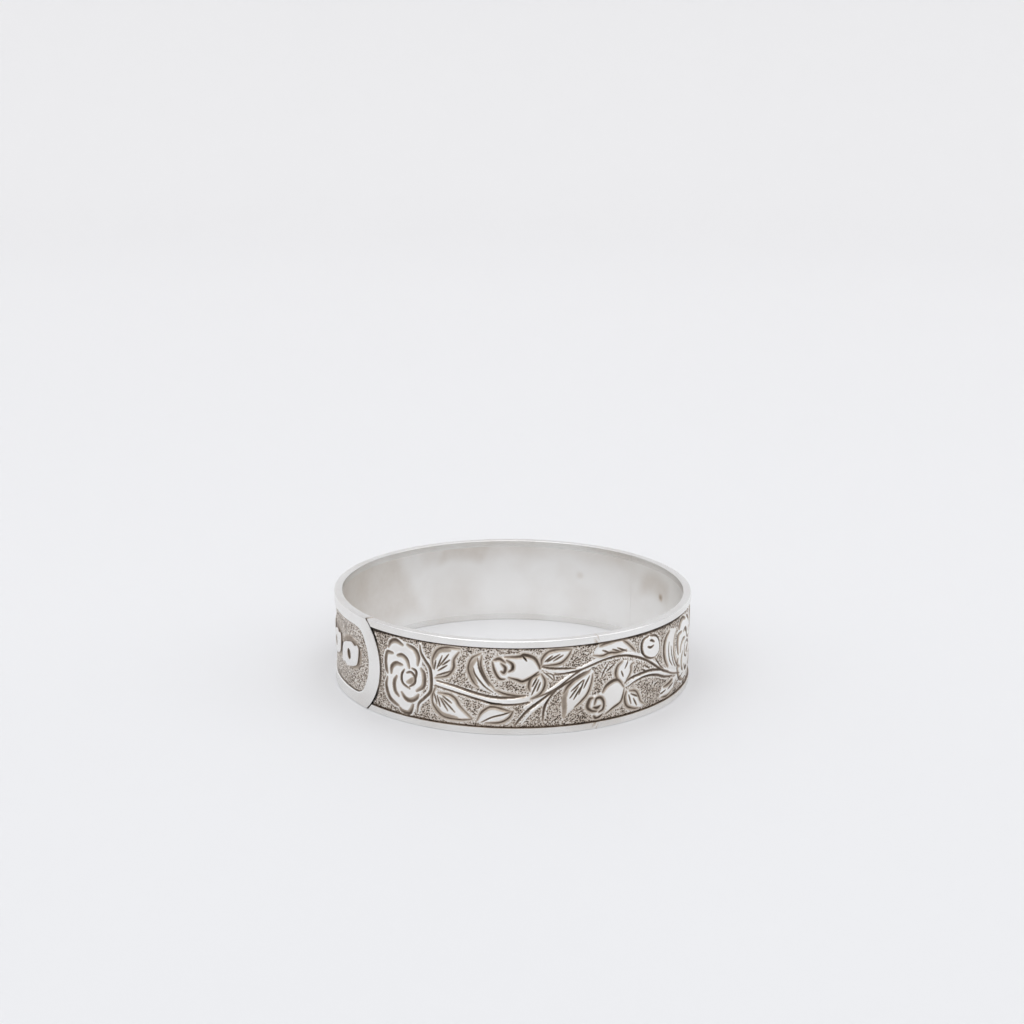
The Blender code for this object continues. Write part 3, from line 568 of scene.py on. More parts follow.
def buds(relief):
    """Rosebuds: a spiral head at the end of a smooth, domed cup."""
    relief.mound([
        (-0.9, 5.4), (1.2, 5.6), (2.2, 5.9), (3.6, 5.5), (4.5, 4.3), (4.8, 3.3), (4.4, 2.7), (3.2, 1.8),
        (1.8, 1.1), (0.7, 1.4), (-0.7, 1.9), (0.1, 3.4)], rise=0.17, crown=0.09, width=1.8)
    relief.mound([
        (-1.6, 5.5), (-3, 5.1), (-3.6, 3.9), (-3.1, 2.3), (-1.9, 1.4), (-0.7, 1.9), (0.1, 3.4),
        (-0.3, 4.8)], rise=0.2, crown=0.04, width=1.2)
    for line in [
            [(-3.4, 4.6), (-3, 3), (-2.2, 1.7), (-1.3, 1.6)],
            [(-3.2, 4.9), (-2.2, 5.2), (-1.2, 4.6)],
            [(-1.9, 4.4), (-1.2, 3.7), (-1.4, 2.8), (-1.9, 3)],
            [(-1, 5), (0, 4.3), (0, 3.4), (-0.6, 3)],
            [(-1.3, 5.5), (1.2, 5.6), (2, 5.9), (3.6, 5.4), (4.4, 4.3), (4.7, 3.4)],
            [(-0.6, 1.9), (0.8, 1.5), (1.8, 1.2), (3.2, 1.9), (4.4, 2.8)]]:
        bud_line(relief, line)
    relief.carve([(1.7, 5.7), (2.1, 5.3), (2.4, 4.9)], width=0.34, depth=0.13, stain_and_painted_light=1.0)
    relief.mound([
        (15.6, -2.3), (16.3, -1.9), (17, -0.9), (18.4, -0.2), (19.6, -0.3), (20.8, -1.8), (20.6, -3.6),
        (20.1, -4.6), (18.6, -5.3), (16.8, -6.2), (17.2, -4.3)], rise=0.17, crown=0.09, width=1.8)
    relief.mound([
        (15.1, -2.3), (13.7, -2.9), (13.1, -4.2), (13.8, -5.4), (14.6, -6.6), (16, -6.4), (16.8, -5.2),
        (16.7, -3.4)], rise=0.2, crown=0.04, width=1.2)
    for line in [
            [(14.3, -2.7), (13.7, -3), (13.3, -4.2), (14, -5), (15, -5.2)],
            [(14.6, -3.9), (15, -2.9), (16, -3), (16.5, -4), (16.3, -5), (15.5, -5.4)],
            [(14.4, -4.4), (15.1, -4.6), (15.7, -4.3)],
            [(14.5, -6), (15, -6.5), (15.8, -6.3), (16.2, -6)],
            [(16.3, -2), (17, -1), (18.4, -0.3), (19.5, -0.4), (20.7, -1.8)],
            [(17, -6), (18.5, -5.2), (20, -4.5), (20.5, -3.5), (20.8, -2.2)]]:
        bud_line(relief, line)
    relief.mound([
        (24.8, 5), (24.9, 3.8), (25.5, 2.8), (27, 2), (28.5, 1.8), (29.6, 2.5), (29.8, 3.8), (29.4, 5),
        (28.5, 5.8), (27, 6.1), (25.3, 5.8)], rise=0.18, crown=0.08, width=1.6)
    for line in [
            [(26.6, 6.1), (25.3, 5.8), (24.8, 5), (24.9, 3.8), (25.5, 2.8), (27, 2), (28.4, 1.8)],
            [(28.4, 1.8), (29.6, 2.5), (29.8, 3.8), (29.4, 5), (28.5, 5.8), (27, 6.1)],
            [(26.2, 4.3), (27, 4), (27.8, 4.2)],
            [(26.8, 5.3), (27.3, 5.2), (28, 4.8)]]:
        relief.carve(line, width=0.5, depth=0.14, stain_and_painted_light=0.74, lip=0.06)


# Height of the dark line under the top rim, at places round the band
TOP_LINE = [(-28, 6.5), (-24, 6.72), (-18, 6.88), (-8, 6.95), (12, 6.95), (14.5, 6.8), (16.5, 6.85),
            (20, 6.75), (26, 6.62), (33, 6.6), (42, 6.85), (70, 6.9)]


def chased_vine():
    """The whole relief, from the strap's tip round to the buckle."""
    relief = Relief(-28, ROUND + STRAP_START_S + 1, RIM_HALF)
    for number in range(REPEATS):
        relief.shift = number * REPEAT
        rose(relief)
        rose_leaves(relief)
        stems(relief)
        small_leaves(relief)
        buds(relief)
    relief.stipple()
    s, z = np.meshgrid(relief.s, relief.z)
    places, heights = np.array(TOP_LINE).T
    top_line = np.interp(s, places, heights, period=REPEAT * 2) + wander(s, 4, 0.06)
    top = smooth_step(z, top_line - 0.2, top_line)
    bottom = smooth_step(-z - wander(s, 5, 0.07), SHEET_HALF - 0.12, SHEET_HALF + 0.06)
    relief.stain_and_painted_light = np.maximum(relief.stain_and_painted_light, np.maximum(0.62 * top, 0.4 * bottom))
    relief.cut = np.maximum(relief.cut, 0.12 * np.maximum(top, bottom))
    return relief


# Materials ---------------------------------------------------------------------------------------

# Plain silver, the lighter silver of painted highlights and the span they take at the start of the ramp, and the
# colours of stains and painted shade
SILVER = (0.92, 0.912, 0.895, 1)
PAINTED_HIGHLIGHT_SILVER = (0.97, 0.962, 0.945, 1)
PAINTED_HIGHLIGHT_SPAN = 0.1
TAN = (0.57, 0.49, 0.41, 1)
BROWN = (0.185, 0.145, 0.115, 1)
SOOT = (0.045, 0.036, 0.03, 1)
# Scales of the wear and the matting, per metre
CLOUD_SCALE = 90
SPECK_SCALE = 900
SCRATCH_SCALE = 260
PUNCH_SCALE = 3100


def node(tree, kind, inputs=None, **settings):
    made = tree.nodes.new(kind)
    for key, value in settings.items():
        setattr(made, key, value)
    for socket, value in (inputs or {}).items():
        if isinstance(value, bpy.types.NodeSocket):
            tree.links.new(value, made.inputs[socket])
        else:
            made.inputs[socket].default_value = value
    return made


def ramp(tree, factor, stops):
    made = node(tree, "ShaderNodeValToRGB", {"Fac": factor})
    band = made.color_ramp
    while len(band.elements) < len(stops):
        band.elements.new(0.5)
    for element, (place, colour) in zip(band.elements, stops):
        element.position = place
        element.color = colour
    return made.outputs["Color"]


def maths(tree, operation, first, second=0.0):
    return node(tree, "ShaderNodeMath", {0: first, 1: second}, operation=operation).outputs[0]


def noise(tree, where, scale, detail, stretch=(1, 1, 1)):
    mapped = node(tree, "ShaderNodeMapping", {"Vector": where, "Scale": stretch}).outputs["Vector"]
    inputs = {"Vector": mapped, "Scale": scale, "Detail": detail}
    return node(tree, "ShaderNodeTexNoise", inputs).outputs["Fac"]


def new_material(name):
    """A material with its node tree, its shader, and the places on the object."""
    material = bpy.data.materials.new(name)
    material.use_nodes = True
    tree = material.node_tree
    where = node(tree, "ShaderNodeTexCoord").outputs["Object"]
    return material, tree, tree.nodes["Principled BSDF"], where


def silver(name, roughness, tone, tarnish, streak, stained=True, stippled=False):
    """Silver with fine wear. Stains, painted shade, a painted reflection and painted highlights come from a layer
    of the mesh, the matting from "ground".
    """
    material, tree, shader, where = new_material(name)
    shader.inputs["Metallic"].default_value = 1.0

    clouds = noise(tree, where, CLOUD_SCALE, 4)
    specks = noise(tree, where, SPECK_SCALE, 3)
    lines = noise(tree, where, SCRATCH_SCALE, 5, stretch=(1, 1, streak))
    dirt_and_painted_light = maths(tree, "MULTIPLY", maths(tree, "SUBTRACT", clouds, 0.42), tarnish)
    dirt_and_painted_light = maths(tree, "ADD", maths(tree, "MAXIMUM", dirt_and_painted_light, 0.0), PAINTED_HIGHLIGHT_SPAN)
    if stained:
        stain_and_painted_light = node(tree, "ShaderNodeAttribute", attribute_name="stain_and_painted_light").outputs["Fac"]
        uneven = maths(tree, "ADD", maths(tree, "MULTIPLY", specks, 0.5), 0.76)
        dirt_and_painted_light = maths(tree, "ADD", dirt_and_painted_light, maths(tree, "MULTIPLY", stain_and_painted_light, uneven))
    bumps = maths(tree, "MULTIPLY", lines, 0.6)
    if stippled:
        ground = node(tree, "ShaderNodeAttribute", attribute_name="ground").outputs["Fac"]
        spread = {"Vector": where, "Scale": PUNCH_SCALE, "Randomness": 0.9}
        punches = node(tree, "ShaderNodeTexVoronoi", spread)
        pits = maths(tree, "SUBTRACT", 0.5, punches.outputs["Distance"])
        pits = maths(tree, "MULTIPLY", maths(tree, "MAXIMUM", pits, 0.0), ground)
        dirt_and_painted_light = maths(tree, "ADD", dirt_and_painted_light, maths(tree, "MULTIPLY", pits, 1.9))
        dirt_and_painted_light = maths(tree, "ADD", dirt_and_painted_light, maths(tree, "MULTIPLY", ground, 0.11))
        bumps = maths(tree, "SUBTRACT", bumps, maths(tree, "MULTIPLY", pits, 9.0))
    usual = tuple(channel * tone for channel in SILVER[:3]) + (1,)
    # Below plain silver the ramp turns to a lighter silver, for painted highlights.
    stops = [(0.0, PAINTED_HIGHLIGHT_SILVER), (PAINTED_HIGHLIGHT_SPAN, usual), (0.38, TAN), (0.7, BROWN), (1.0, SOOT)]
    colour = ramp(tree, dirt_and_painted_light, stops)
    tree.links.new(colour, shader.inputs["Base Color"])

    rough = maths(tree, "ADD", roughness, maths(tree, "MULTIPLY", lines, 0.08))
    rough = maths(tree, "ADD", rough, maths(tree, "MULTIPLY", dirt_and_painted_light, 0.35))
    tree.links.new(rough, shader.inputs["Roughness"])
    bump = node(tree, "ShaderNodeBump", {"Strength": 0.35, "Distance": 0.00002, "Height": bumps})
    tree.links.new(bump.outputs["Normal"], shader.inputs["Normal"])
    return material


polished = silver("polished_silver", 0.16, 0.94, 0.25, 6)
chased = silver("chased_silver", 0.24, 1.0, 0.22, 2, stippled=True)
inside = silver("inner_silver", 0.22, 1.0, 0.18, 0.4)
hidden = silver("hidden_silver", 0.38, 0.8, 0.9, 4, stained=False)


# Shells ------------------------------------------------------------------------------------------

def shell(name, relief, start_at, end_at, body, stands_for, ledge=0.0):
    """Chased sheet between two ends, each a function of the height, with a ledge at its start."""
    z = np.linspace(-RIM_HALF - 0.02, RIM_HALF + 0.02, int(2 * RIM_HALF / MESH_STEP))
    low, high = start_at(z), end_at(z)
    columns = int((high.max() - low.min()) / MESH_STEP)
    share = np.linspace(0, 1, columns)
    share = np.concatenate([[0, 0], share, [1]])
    s = low[:, None] + (high - low)[:, None] * share
    s[:, 0] -= ledge
    level = z[:, None] + 0 * s
    height = relief.sample(relief.raised + relief.lip - relief.cut, s, level)
    r = np.minimum(GROUND_RADIUS + height, RELIEF_TOP)
    dim = smooth_step(np.abs(level[:, :2]), 3.5, 6.0)
    r[:, :2] = LEDGE_RADIUS - 0.2 * dim
    r[:, -1] = SHELL_INNER
    layers = relief.layers(s, level)
    # The ledge under the gap at the tip is darker, most towards its ends.
    layers["stain_and_painted_light"][:, :2] = 0.3 + 0.5 * dim
    mesh = grid_mesh(name, on_band(s, r, level), layers=layers)
    finish_mesh(name, mesh, chased, body, [stands_for], sharp=60)


vine = chased_vine()
hinge_end = HINGE_S - SHELL_END
shell("floral_relief", vine, lambda z: tip_s(z, OUTER, TIP_RADIUS + TIP_GAP), lambda z: hinge_end + 0 * z,
      "floral_half", "floral_shell", ledge=TIP_GAP - 0.05)
shell("belt_relief", vine, lambda z: HINGE_S + SHELL_END + 0 * z, lambda z: ROUND + STRAP_START_S + 0 * z,
      "belt_half", "belt_shell")


# Rims and linings --------------------------------------------------------------------------------

CORNER_STEPS = 5


def rounded_corner(r, z, turn_r, turn_z, radius):
    """Points of a rounded corner, from its horizontal side to its upright side."""
    points = []
    for step in range(CORNER_STEPS + 1):
        angle = pi / 2 * step / CORNER_STEPS
        points.append((r - turn_r * radius * (1 - sin(angle)), z - turn_z * radius * (1 - cos(angle))))
    return points


RIM_OUTER_CORNER = 0.22
RIM_INNER_CORNER = 0.14


def rim_profile(side):
    """Closed section of a rim, anticlockwise seen with r to the right; side is 1 for the top rim."""
    outer = rounded_corner(OUTER, side * HALF, 1, side, RIM_OUTER_CORNER)
    inner = rounded_corner(INNER, side * HALF, -1, side, RIM_INNER_CORNER)
    foot = side * RIM_HALF
    step = [(SHELL_INNER + 0.02, side * HALF), (SHELL_INNER, side * HALF)]
    points = [(OUTER, foot + side * 0.06)] + outer[::-1] + step + inner
    points += [(INNER, foot), (SHELL_INNER, foot), (OUTER - 0.3, foot), (OUTER - 0.1, foot + side * 0.005)]
    return points if side > 0 else points[::-1]


# Steps of a swept section round the band, mm, and the small share of its length to its first edge
SWEEP_STEP = 0.3
END_EDGE = 0.0006


def sides(profile):
    """Columns of the places r and z of a section's points."""
    return np.array(profile).T[:, :, None]


def sweep(name, profile, start_at, end_at, material, body, stands_for, stain_and_light_at, extra=()):
    """Turns a closed section round the band between two ends, and caps both ends."""
    r, z = sides(profile)
    low, high = start_at(z, r), end_at(z, r)
    share = np.linspace(0, 1, int((high.max() - low.min()) / SWEEP_STEP))
    extra_share = [(place - low.min()) / (high.max() - low.min()) for place in extra]
    share = np.unique(np.concatenate([share, extra_share]))
    share = np.concatenate([[0, 0], [END_EDGE], share[1:], [1]])
    s = low + (high - low) * share
    middle_r, middle_z = (r.min() + r.max()) / 2, (z.min() + z.max()) / 2
    radius, level = r + 0 * s, z + 0 * s
    for column in (0, -1):
        radius[:, column] = middle_r
        level[:, column] = middle_z
    layers = {"stain_and_painted_light": stain_and_light_at(s, radius, level), "ground": 0 * s}
    mesh = grid_mesh(name, on_band(s, radius, level), wrap=True, layers=layers)
    finish_mesh(name, mesh, material, body, stands_for)


def floral_start(z, r):
    """The round end beside the strap's tip, with a ledge that reaches under the gap."""
    return tip_s(z, r, TIP_RADIUS + TIP_GAP - (TIP_GAP - 0.05) * (r < SHELL_INNER + 0.01))


def floral_end(z, r):
    return HINGE_S - SEAM + 0 * z * r


def belt_start(z, r):
    return HINGE_S + SEAM + 0 * z * r


def belt_end(z, r):
    return ROUND + STRAP_START_S - SEAM / 2 + 0 * z * r


def tip_gap_darkening(s, r, z):
    """Darkens both walls of the gap round the strap's tip, most near its ends."""
    turn = (s - TIP_AXIS_S) / OUTER
    x = np.sin(turn) * r
    past = np.where(np.cos(turn) > 0, np.hypot(x, z) - TIP_RADIUS, -1)
    face = np.where(np.abs(z) < HALF - 0.1, np.where(np.abs(z) < 5.0, 0.5, 0.9), 0.2)
    return face * (x > 0) * (past > -0.01) * (past < TIP_GAP + 0.01)


# The solder seam and its nick
SOLDER_S = 15.0
NICK_S = 14.7


def rim_stain_and_highlight(s, r, z):
    """Dark line beside the ground, darkening in the gap at the tip, the solder seam near the front with its nick,
    and a painted highlight along the outer edges.
    """
    foot = 0.5 * (np.abs(z) < RIM_HALF + 0.03) * (r > LINING_OUTER)
    seam = 0.24 * np.exp(-((s - SOLDER_S) / 0.09) ** 2) * (r > INNER + 0.1)
    nick = 0.8 * np.exp(-((s - NICK_S) / 0.13) ** 2) * (np.abs(z) < RIM_HALF + 0.2) * (r > LINING_OUTER)
    # Painted highlight along the rim's outer edges.
    painted_highlight = -0.07 * (np.abs(z) > HALF - 0.2) * (r > OUTER - 0.2)
    marks = np.maximum(np.maximum(foot, nick), np.maximum(seam, tip_gap_darkening(s, r, z)))
    return np.where(marks > 0.02, marks, painted_highlight)


seam_places = np.linspace(SOLDER_S - 0.4, SOLDER_S + 0.4, 17)
for side, word in ((1, "top"), (-1, "bottom")):
    sweep("floral_rim_" + word, rim_profile(side), floral_start, floral_end, polished, "floral_half",
          ["floral_%s_rim" % word], rim_stain_and_highlight, seam_places)
    sweep("belt_rim_" + word, rim_profile(side), belt_start, belt_end, polished, "belt_half",
          ["belt_%s_rim" % word], rim_stain_and_highlight)


def patch(s, z, from_s, to_s, from_z, to_z, soft, strength):
    """Soft-edged patch of tarnish."""
    across = smooth_step(s, from_s - soft, from_s + soft) * (1 - smooth_step(s, to_s - soft, to_s + soft))
    upright = smooth_step(z, from_z - soft, from_z + soft) * (1 - smooth_step(z, to_z - soft, to_z + soft))
    return strength * across * upright


def lining_reflection_and_patches(s, r, z):
    """Painted reflection of the shaded floor as a warm band along the top of the rear wall, patches at its left,
    and spots at its right.
    """
    uneven = z + wander(s, 8, 0.9) + 0.5 * np.sin(s / 1.9)
    # The first two patches are the painted reflection along the top of the rear wall.
    total = patch(s, uneven, 78, 124, 5.2, 12, 1.6, 0.05)
    total += patch(s + 0.4 * uneven, uneven, 112, 122, 4.6, 12, 1.1, 0.06)
    total += patch(s - 0.55 * uneven, z, 126.5, 160, -5, 12, 2.2, 0.09)
    total += patch(s + 0.3 * uneven, uneven, 64, 74, 1.4, 5.5, 1.6, 0.09)
    total += patch(s, z, 65.4, 66.6, 1.6, 2.6, 0.5, 0.28)
    total += patch(s, z, 88.3, 89.6, 1.4, 2.6, 0.5, 0.07)
    return total


lining_z = np.linspace(RIM_HALF, -RIM_HALF, 48)
lining_profile = [(INNER, z) for z in lining_z] + [(LINING_OUTER, -RIM_HALF), (LINING_OUTER, RIM_HALF)]
sweep("floral_inside", lining_profile, floral_start, floral_end, inside, "floral_half",
      ["floral_lining"], lining_reflection_and_patches)
sweep("belt_inside", lining_profile, belt_start, lambda z, r: ROUND + tip_s(z, r, TIP_RADIUS), inside,
      "belt_half", ["belt_lining"], lining_reflection_and_patches)


# Strap end ---------------------------------------------------------------------------------------

def smooth_max(first, second, size):
    blend = np.maximum(size - np.abs(first - second), 0) / size
    return np.maximum(first, second) + blend * blend * size / 4


def field_distance(x, z):
    """Distance outside the strap's sunk field, at x mm past the tip's axis."""
    reach_out = np.where(x > 0, np.hypot(np.maximum(x, 0), z), np.abs(z)) - FIELD_RADIUS
    return smooth_max(np.abs(z) - FIELD_HALF, reach_out, FIELD_CORNER)


def field_end(z):
    """How far past the tip's axis the field reaches at a height."""
    low, high = 0 * z, 0 * z + FIELD_RADIUS
    for _ in range(40):
        half = (low + high) / 2
        out = field_distance(half, z) > 0
        low, high = np.where(out, low, half), np.where(out, half, high)
    return low


# Where the border has points: distances out from the field's edge, and back from the gap
STEPS_OUT = np.array([0, 0.02, 0.05, 0.09, 0.14, 0.2, 0.28, 0.4])
STEPS_IN = np.array([0.3, 0.2, 0.13, 0.08, 0.04, 0.015, 0.0])
# How far its face falls towards the field and towards the gap, and over what width
FIELD_FALL = 0.12
FIELD_FALL_WIDTH = 0.22
FIELD_WALL = 0.5
TIP_FALL = 0.08
TIP_FALL_WIDTH = 0.2
# Half height of the core that closes the border's ends, heights of two more edges on its face, and
# how far its contour stays inside the tip's outline at the rim
CORE_HALF = 7.75
FACE_EDGES = (7.0, 7.5)
CONTOUR_INSET = 0.8
# Fineness of the field and of the border beside it, and a margin that keeps off the field's edge
FIELD_ROWS = 100
FIELD_COLUMNS = 390
BORDER_COLUMNS = 90
MARGIN = 1e-4
STRAP_EDGE_S = STRAP_START_S + SEAM / 2


def strap_border():
    """Border of the strap end: a frame with a window, and both rims."""
    corner_x = float(field_end(np.array([FIELD_HALF - MARGIN]))[0])
    outer = rounded_corner(OUTER, HALF, 1, 1, RIM_OUTER_CORNER)
    inner = rounded_corner(INNER, HALF, -1, 1, RIM_INNER_CORNER)
    upper = [(OUTER, FIELD_HALF + step) for step in STEPS_OUT] + [(OUTER, edge) for edge in FACE_EDGES]
    upper += outer[::-1] + inner + [(INNER, RIM_HALF), (SHELL_INNER, RIM_HALF)]
    window = np.linspace(-FIELD_HALF, FIELD_HALF, FIELD_ROWS)[1:-1]
    lower = [(r, -z) for r, z in upper[::-1]]
    profile = lower + [(OUTER, z) for z in window] + upper
    r, z = sides(profile)
    inside_window = np.abs(z) < FIELD_HALF
    level = np.clip(np.abs(z), 0, HALF)
    window_z = np.clip(z, MARGIN - FIELD_HALF, FIELD_HALF - MARGIN)
    beyond = (level - FIELD_HALF) / (HALF - FIELD_HALF)
    far = np.sqrt(TIP_RADIUS ** 2 - HALF ** 2)
    flared = corner_x + (far - CONTOUR_INSET - corner_x) * np.clip(beyond, 0, 1)
    edge = np.where(inside_window, field_end(window_z), flared)
    contour = TIP_AXIS_S + np.arcsin(edge / r) * OUTER
    gap = tip_s(z, r, TIP_RADIUS)
    straight = np.linspace(0, 1, BORDER_COLUMNS)
    before = STRAP_EDGE_S + (contour - STRAP_EDGE_S) * straight
    width = gap - contour
    inner_part = np.minimum(STEPS_OUT[None, 1:], 0.3 * width)
    outer_part = inner_part[:, -1:] + (width - inner_part[:, -1:] - 0.32) * np.linspace(0, 1, 9)[None, :-1]
    end_part = width - STEPS_IN[None, :]
    after = contour + np.concatenate([inner_part, outer_part[:, 1:], end_part], axis=1)
    s = np.concatenate([before, after], axis=1)
    s = np.concatenate([s[:, :1], s, s[:, -1:]], axis=1)
    radius = r + 0 * s
    height = z + 0 * s
    x = np.sin((s - TIP_AXIS_S) / OUTER) * radius
    out = field_distance(x, height)
    face = (np.abs(height) < HALF - 0.3) & (radius > OUTER - 0.01)
    drop = FIELD_FALL * (1 - smooth_step(out, 0.0, FIELD_FALL_WIDTH)) + FIELD_WALL * (out < 0.01)
    to_gap = np.clip(TIP_RADIUS - np.hypot(x, height), 0, None)
    near_tip = (x > 0) * TIP_FALL * (1 - smooth_step(to_gap, 0.0, TIP_FALL_WIDTH))
    radius = np.where(face, radius - drop - near_tip, radius)
    core_z = np.clip(z, -CORE_HALF, CORE_HALF)
    core_r = np.where(np.abs(z) < RIM_HALF, SHELL_INNER, (OUTER + INNER) / 2)
    for column in (0, -1):
        radius[:, column] = core_r[:, 0]
        height[:, column] = core_z[:, 0]
    row_in = (np.abs(z[:-1, 0]) < FIELD_HALF + 1e-6) & (np.abs(z[1:, 0]) < FIELD_HALF + 1e-6)
    row_in &= (r[:-1, 0] > OUTER - 0.01) & (r[1:, 0] > OUTER - 0.01)
    hole = row_in[:, None] & (np.arange(s.shape[1] - 1) < len(straight))[None, :]
    marks = np.maximum(0.45 * (out < 0.01) * face, tip_gap_darkening(s, radius, height))
    # Where there are no marks, a painted highlight along the border's face next to the field.
    stain_and_painted_light = np.where(marks > 0, marks, -0.1 * face * (1 - smooth_step(out, 0.1, 0.35)))
    layers = {"stain_and_painted_light": stain_and_painted_light, "ground": 0 * s}
    mesh = grid_mesh("strap_border", on_band(s, radius, height), hole, layers=layers)
    finish_mesh("strap_border", mesh, polished, "belt_half", ["strap_end_border"])


strap_border()


# Dark halo round each eyelet, a painted shadow shifted towards its upper right, and the darker spot between two of
# them
HALO_SHIFT = (0.35, 0.45)
HALO_HALVES = (3.9, 2.7)
GAP_SHIFT = 4.3
GAP_WIDTH = 0.45


def strap_field():
    """Sunk, stippled field of the strap end, with painted shadow round the eyelets."""
    relief = Relief(STRAP_START_S, TIP_AXIS_S + FIELD_RADIUS + 1, FIELD_HALF + 0.1)
    s, z = np.meshgrid(relief.s, relief.z)
    halo, between = 0 * s, 0 * s
    for number in range(EYELETS):
        centre = eyelet_place(number)
        away = np.hypot((s - centre - HALO_SHIFT[0]) / HALO_HALVES[0], (z - HALO_SHIFT[1]) / HALO_HALVES[1])
        halo = np.maximum(halo, 1 - smooth_step(away, 0.95, 1.2))
        next_gap = np.exp(-((s - centre + GAP_SHIFT) / GAP_WIDTH) ** 2)
        between = np.maximum(between, next_gap * (1 - smooth_step(np.abs(z + 0.2), 0.9, 2.0)))
    relief.ground *= 1 - 0.9 * halo
    relief.stipple(pitch=0.36, depth=0.1, seed=5)
    out = field_distance(np.sin((s - TIP_AXIS_S) / OUTER) * OUTER, z)
    edge = 0.55 * smooth_step(out, -0.22, -0.03)
    # Painted shadow in the halos, darker spots between the eyelets, and a darker edge by the border.
    relief.stain_and_painted_light = np.maximum(np.maximum(0.42 * halo, 0.8 * between), edge)
    rows = np.linspace(-FIELD_HALF + 1e-3, FIELD_HALF - 1e-3, FIELD_ROWS)[:, None]
    end = TIP_AXIS_S + np.arcsin((field_end(rows) - 0.01) / OUTER) * OUTER
    share = np.linspace(0, 1, FIELD_COLUMNS)
    s = STRAP_EDGE_S + (end - STRAP_EDGE_S) * share
    level = rows + 0 * s
    r = GROUND_RADIUS - 0.02 - relief.sample(relief.cut, s, level)
    mesh = grid_mesh("strap_field", on_band(s, r, level), layers=relief.layers(s, level))
    finish_mesh("strap_field", mesh, chased, "belt_half", ["strap_end_plate"], sharp=60)


strap_field()


# Eyelets -----------------------------------------------------------------------------------------

def smooth_piece(name, s, r, z, stain_and_painted_light, stands_for):
    """Polished piece of the belt half, without matting."""
    mesh = grid_mesh(name, on_band(s, r, z), layers={"stain_and_painted_light": stain_and_painted_light, "ground": 0 * s})
    finish_mesh(name, mesh, polished, "belt_half", [stands_for], sharp=50)


def eyelet(index):
    """Raised, smooth rosette with soft edges round a leaning slot."""
    centre = eyelet_place(index)
    half_turn = np.array(EYELET_CORNERS)
    line = curve(np.vstack([half_turn, -half_turn]), closed=True, steps=8)
    line = np.vstack([line, line[:1]])
    turn = np.arctan2(line[:, 1], line[:, 0])[:, None]
    share, lift = np.array(EYELET_SECTION).T[:, None]
    slot_s = SLOT_HALVES[0] * np.cos(turn) - SLOT_LEAN * np.sin(turn)
    slot_z = SLOT_HALVES[1] * np.sin(turn)
    s = centre + slot_s + (EYELET_HALVES[0] * line[:, :1] - slot_s) * share
    z = slot_z + (EYELET_HALVES[1] * line[:, 1:] - slot_z) * share
    r = OUTER - EYELET_FOOT + lift + 0 * s
    stain_and_painted_light = 0.4 * (share <= 0) + 0.5 * (lift < 0.1) * (share > 0.5) + 0 * s
    name = "eyelet_%d" % (index + 1)
    smooth_piece(name + "_rosette", s, r, z, stain_and_painted_light, name)


for eyelet_index in range(EYELETS):
    eyelet(eyelet_index)


# Buckle ------------------------------------------------------------------------------------------

BUCKLE_S = radians(-124.0) * OUTER
BUCKLE_OUTLINE = (13.6, 14.4, 2.6)
BUCKLE_WINDOW = (9.0, 9.8, 1.3)
BUCKLE_FOOT = OUTER + 0.1
# Section of the frame: share of the way from the window to the outline, and height over the foot
BUCKLE_SECTION = [(0, 0), (0, 0.75), (0.02, 0.9), (0.07, 1.0), (0.15, 1.04), (0.3, 1.05), (0.42, 1.04),
                  (0.46, 0.98), (0.5, 0.9), (0.54, 0.98), (0.58, 1.04), (0.7, 1.05), (0.85, 1.04),
                  (0.93, 1.0), (0.98, 0.9), (1, 0.75), (1, 0), (0.5, 0)]
BAR_S = BUCKLE_S + BUCKLE_WINDOW[0] / 2 - 1.3
BAR_RADIUS = 0.4
BAR_PLACE = OUTER + 1.0
PRONG_RING = 0.6
PRONG_PLACE = OUTER + 1.5
LOOP_CORNER_STEPS = 10
LOOP_SIDE_STEPS = 24


def rounded_loop(length, height, corner):
    """Closed loop round a rectangle with rounded corners, with points along its sides."""
    points = []
    for quarter in range(4):
        side_s = (length / 2 - corner) * (1 if quarter in (0, 3) else -1)
        side_z = (height / 2 - corner) * (1 if quarter in (0, 1) else -1)
        for step in range(LOOP_CORNER_STEPS + 1):
            turn = (quarter + step / LOOP_CORNER_STEPS) * pi / 2
            points.append((side_s + corner * cos(turn), side_z + corner * sin(turn)))
        next_s = (length / 2 - corner) * (1 if quarter in (3, 2) else -1)
        next_z = (height / 2 - corner) * (1 if quarter in (0, 3) else -1)
        turn = (quarter + 1) * pi / 2
        start = np.array(points[-1])
        end = np.array((next_s + corner * cos(turn), next_z + corner * sin(turn)))
        for step in range(1, LOOP_SIDE_STEPS):
            points.append(tuple(start + (end - start) * step / LOOP_SIDE_STEPS))
    return np.array(points + points[:1])


def buckle():
    """Frame with rounded edges and an engraved line along its middle."""
    outer = rounded_loop(*BUCKLE_OUTLINE)[:, None]
    inner = rounded_loop(*BUCKLE_WINDOW)[:, None]
    share, lift = np.array(BUCKLE_SECTION).T
    place = inner + (outer - inner) * share[None, :, None]
    s, z = BUCKLE_S + place[..., 0], place[..., 1]
    r = BUCKLE_FOOT + lift[None, :] + 0 * s
    engraved = np.exp(-((share - 0.5) / 0.03) ** 2) * (lift > 0.5)
    stain_and_painted_light = np.maximum(0.6 * engraved, 0.3 * (lift < 0.1))[None, :] + 0 * s
    smooth_piece("buckle", s[:, ::-1], r[:, ::-1], z[:, ::-1], stain_and_painted_light[:, ::-1], "buckle_frame")


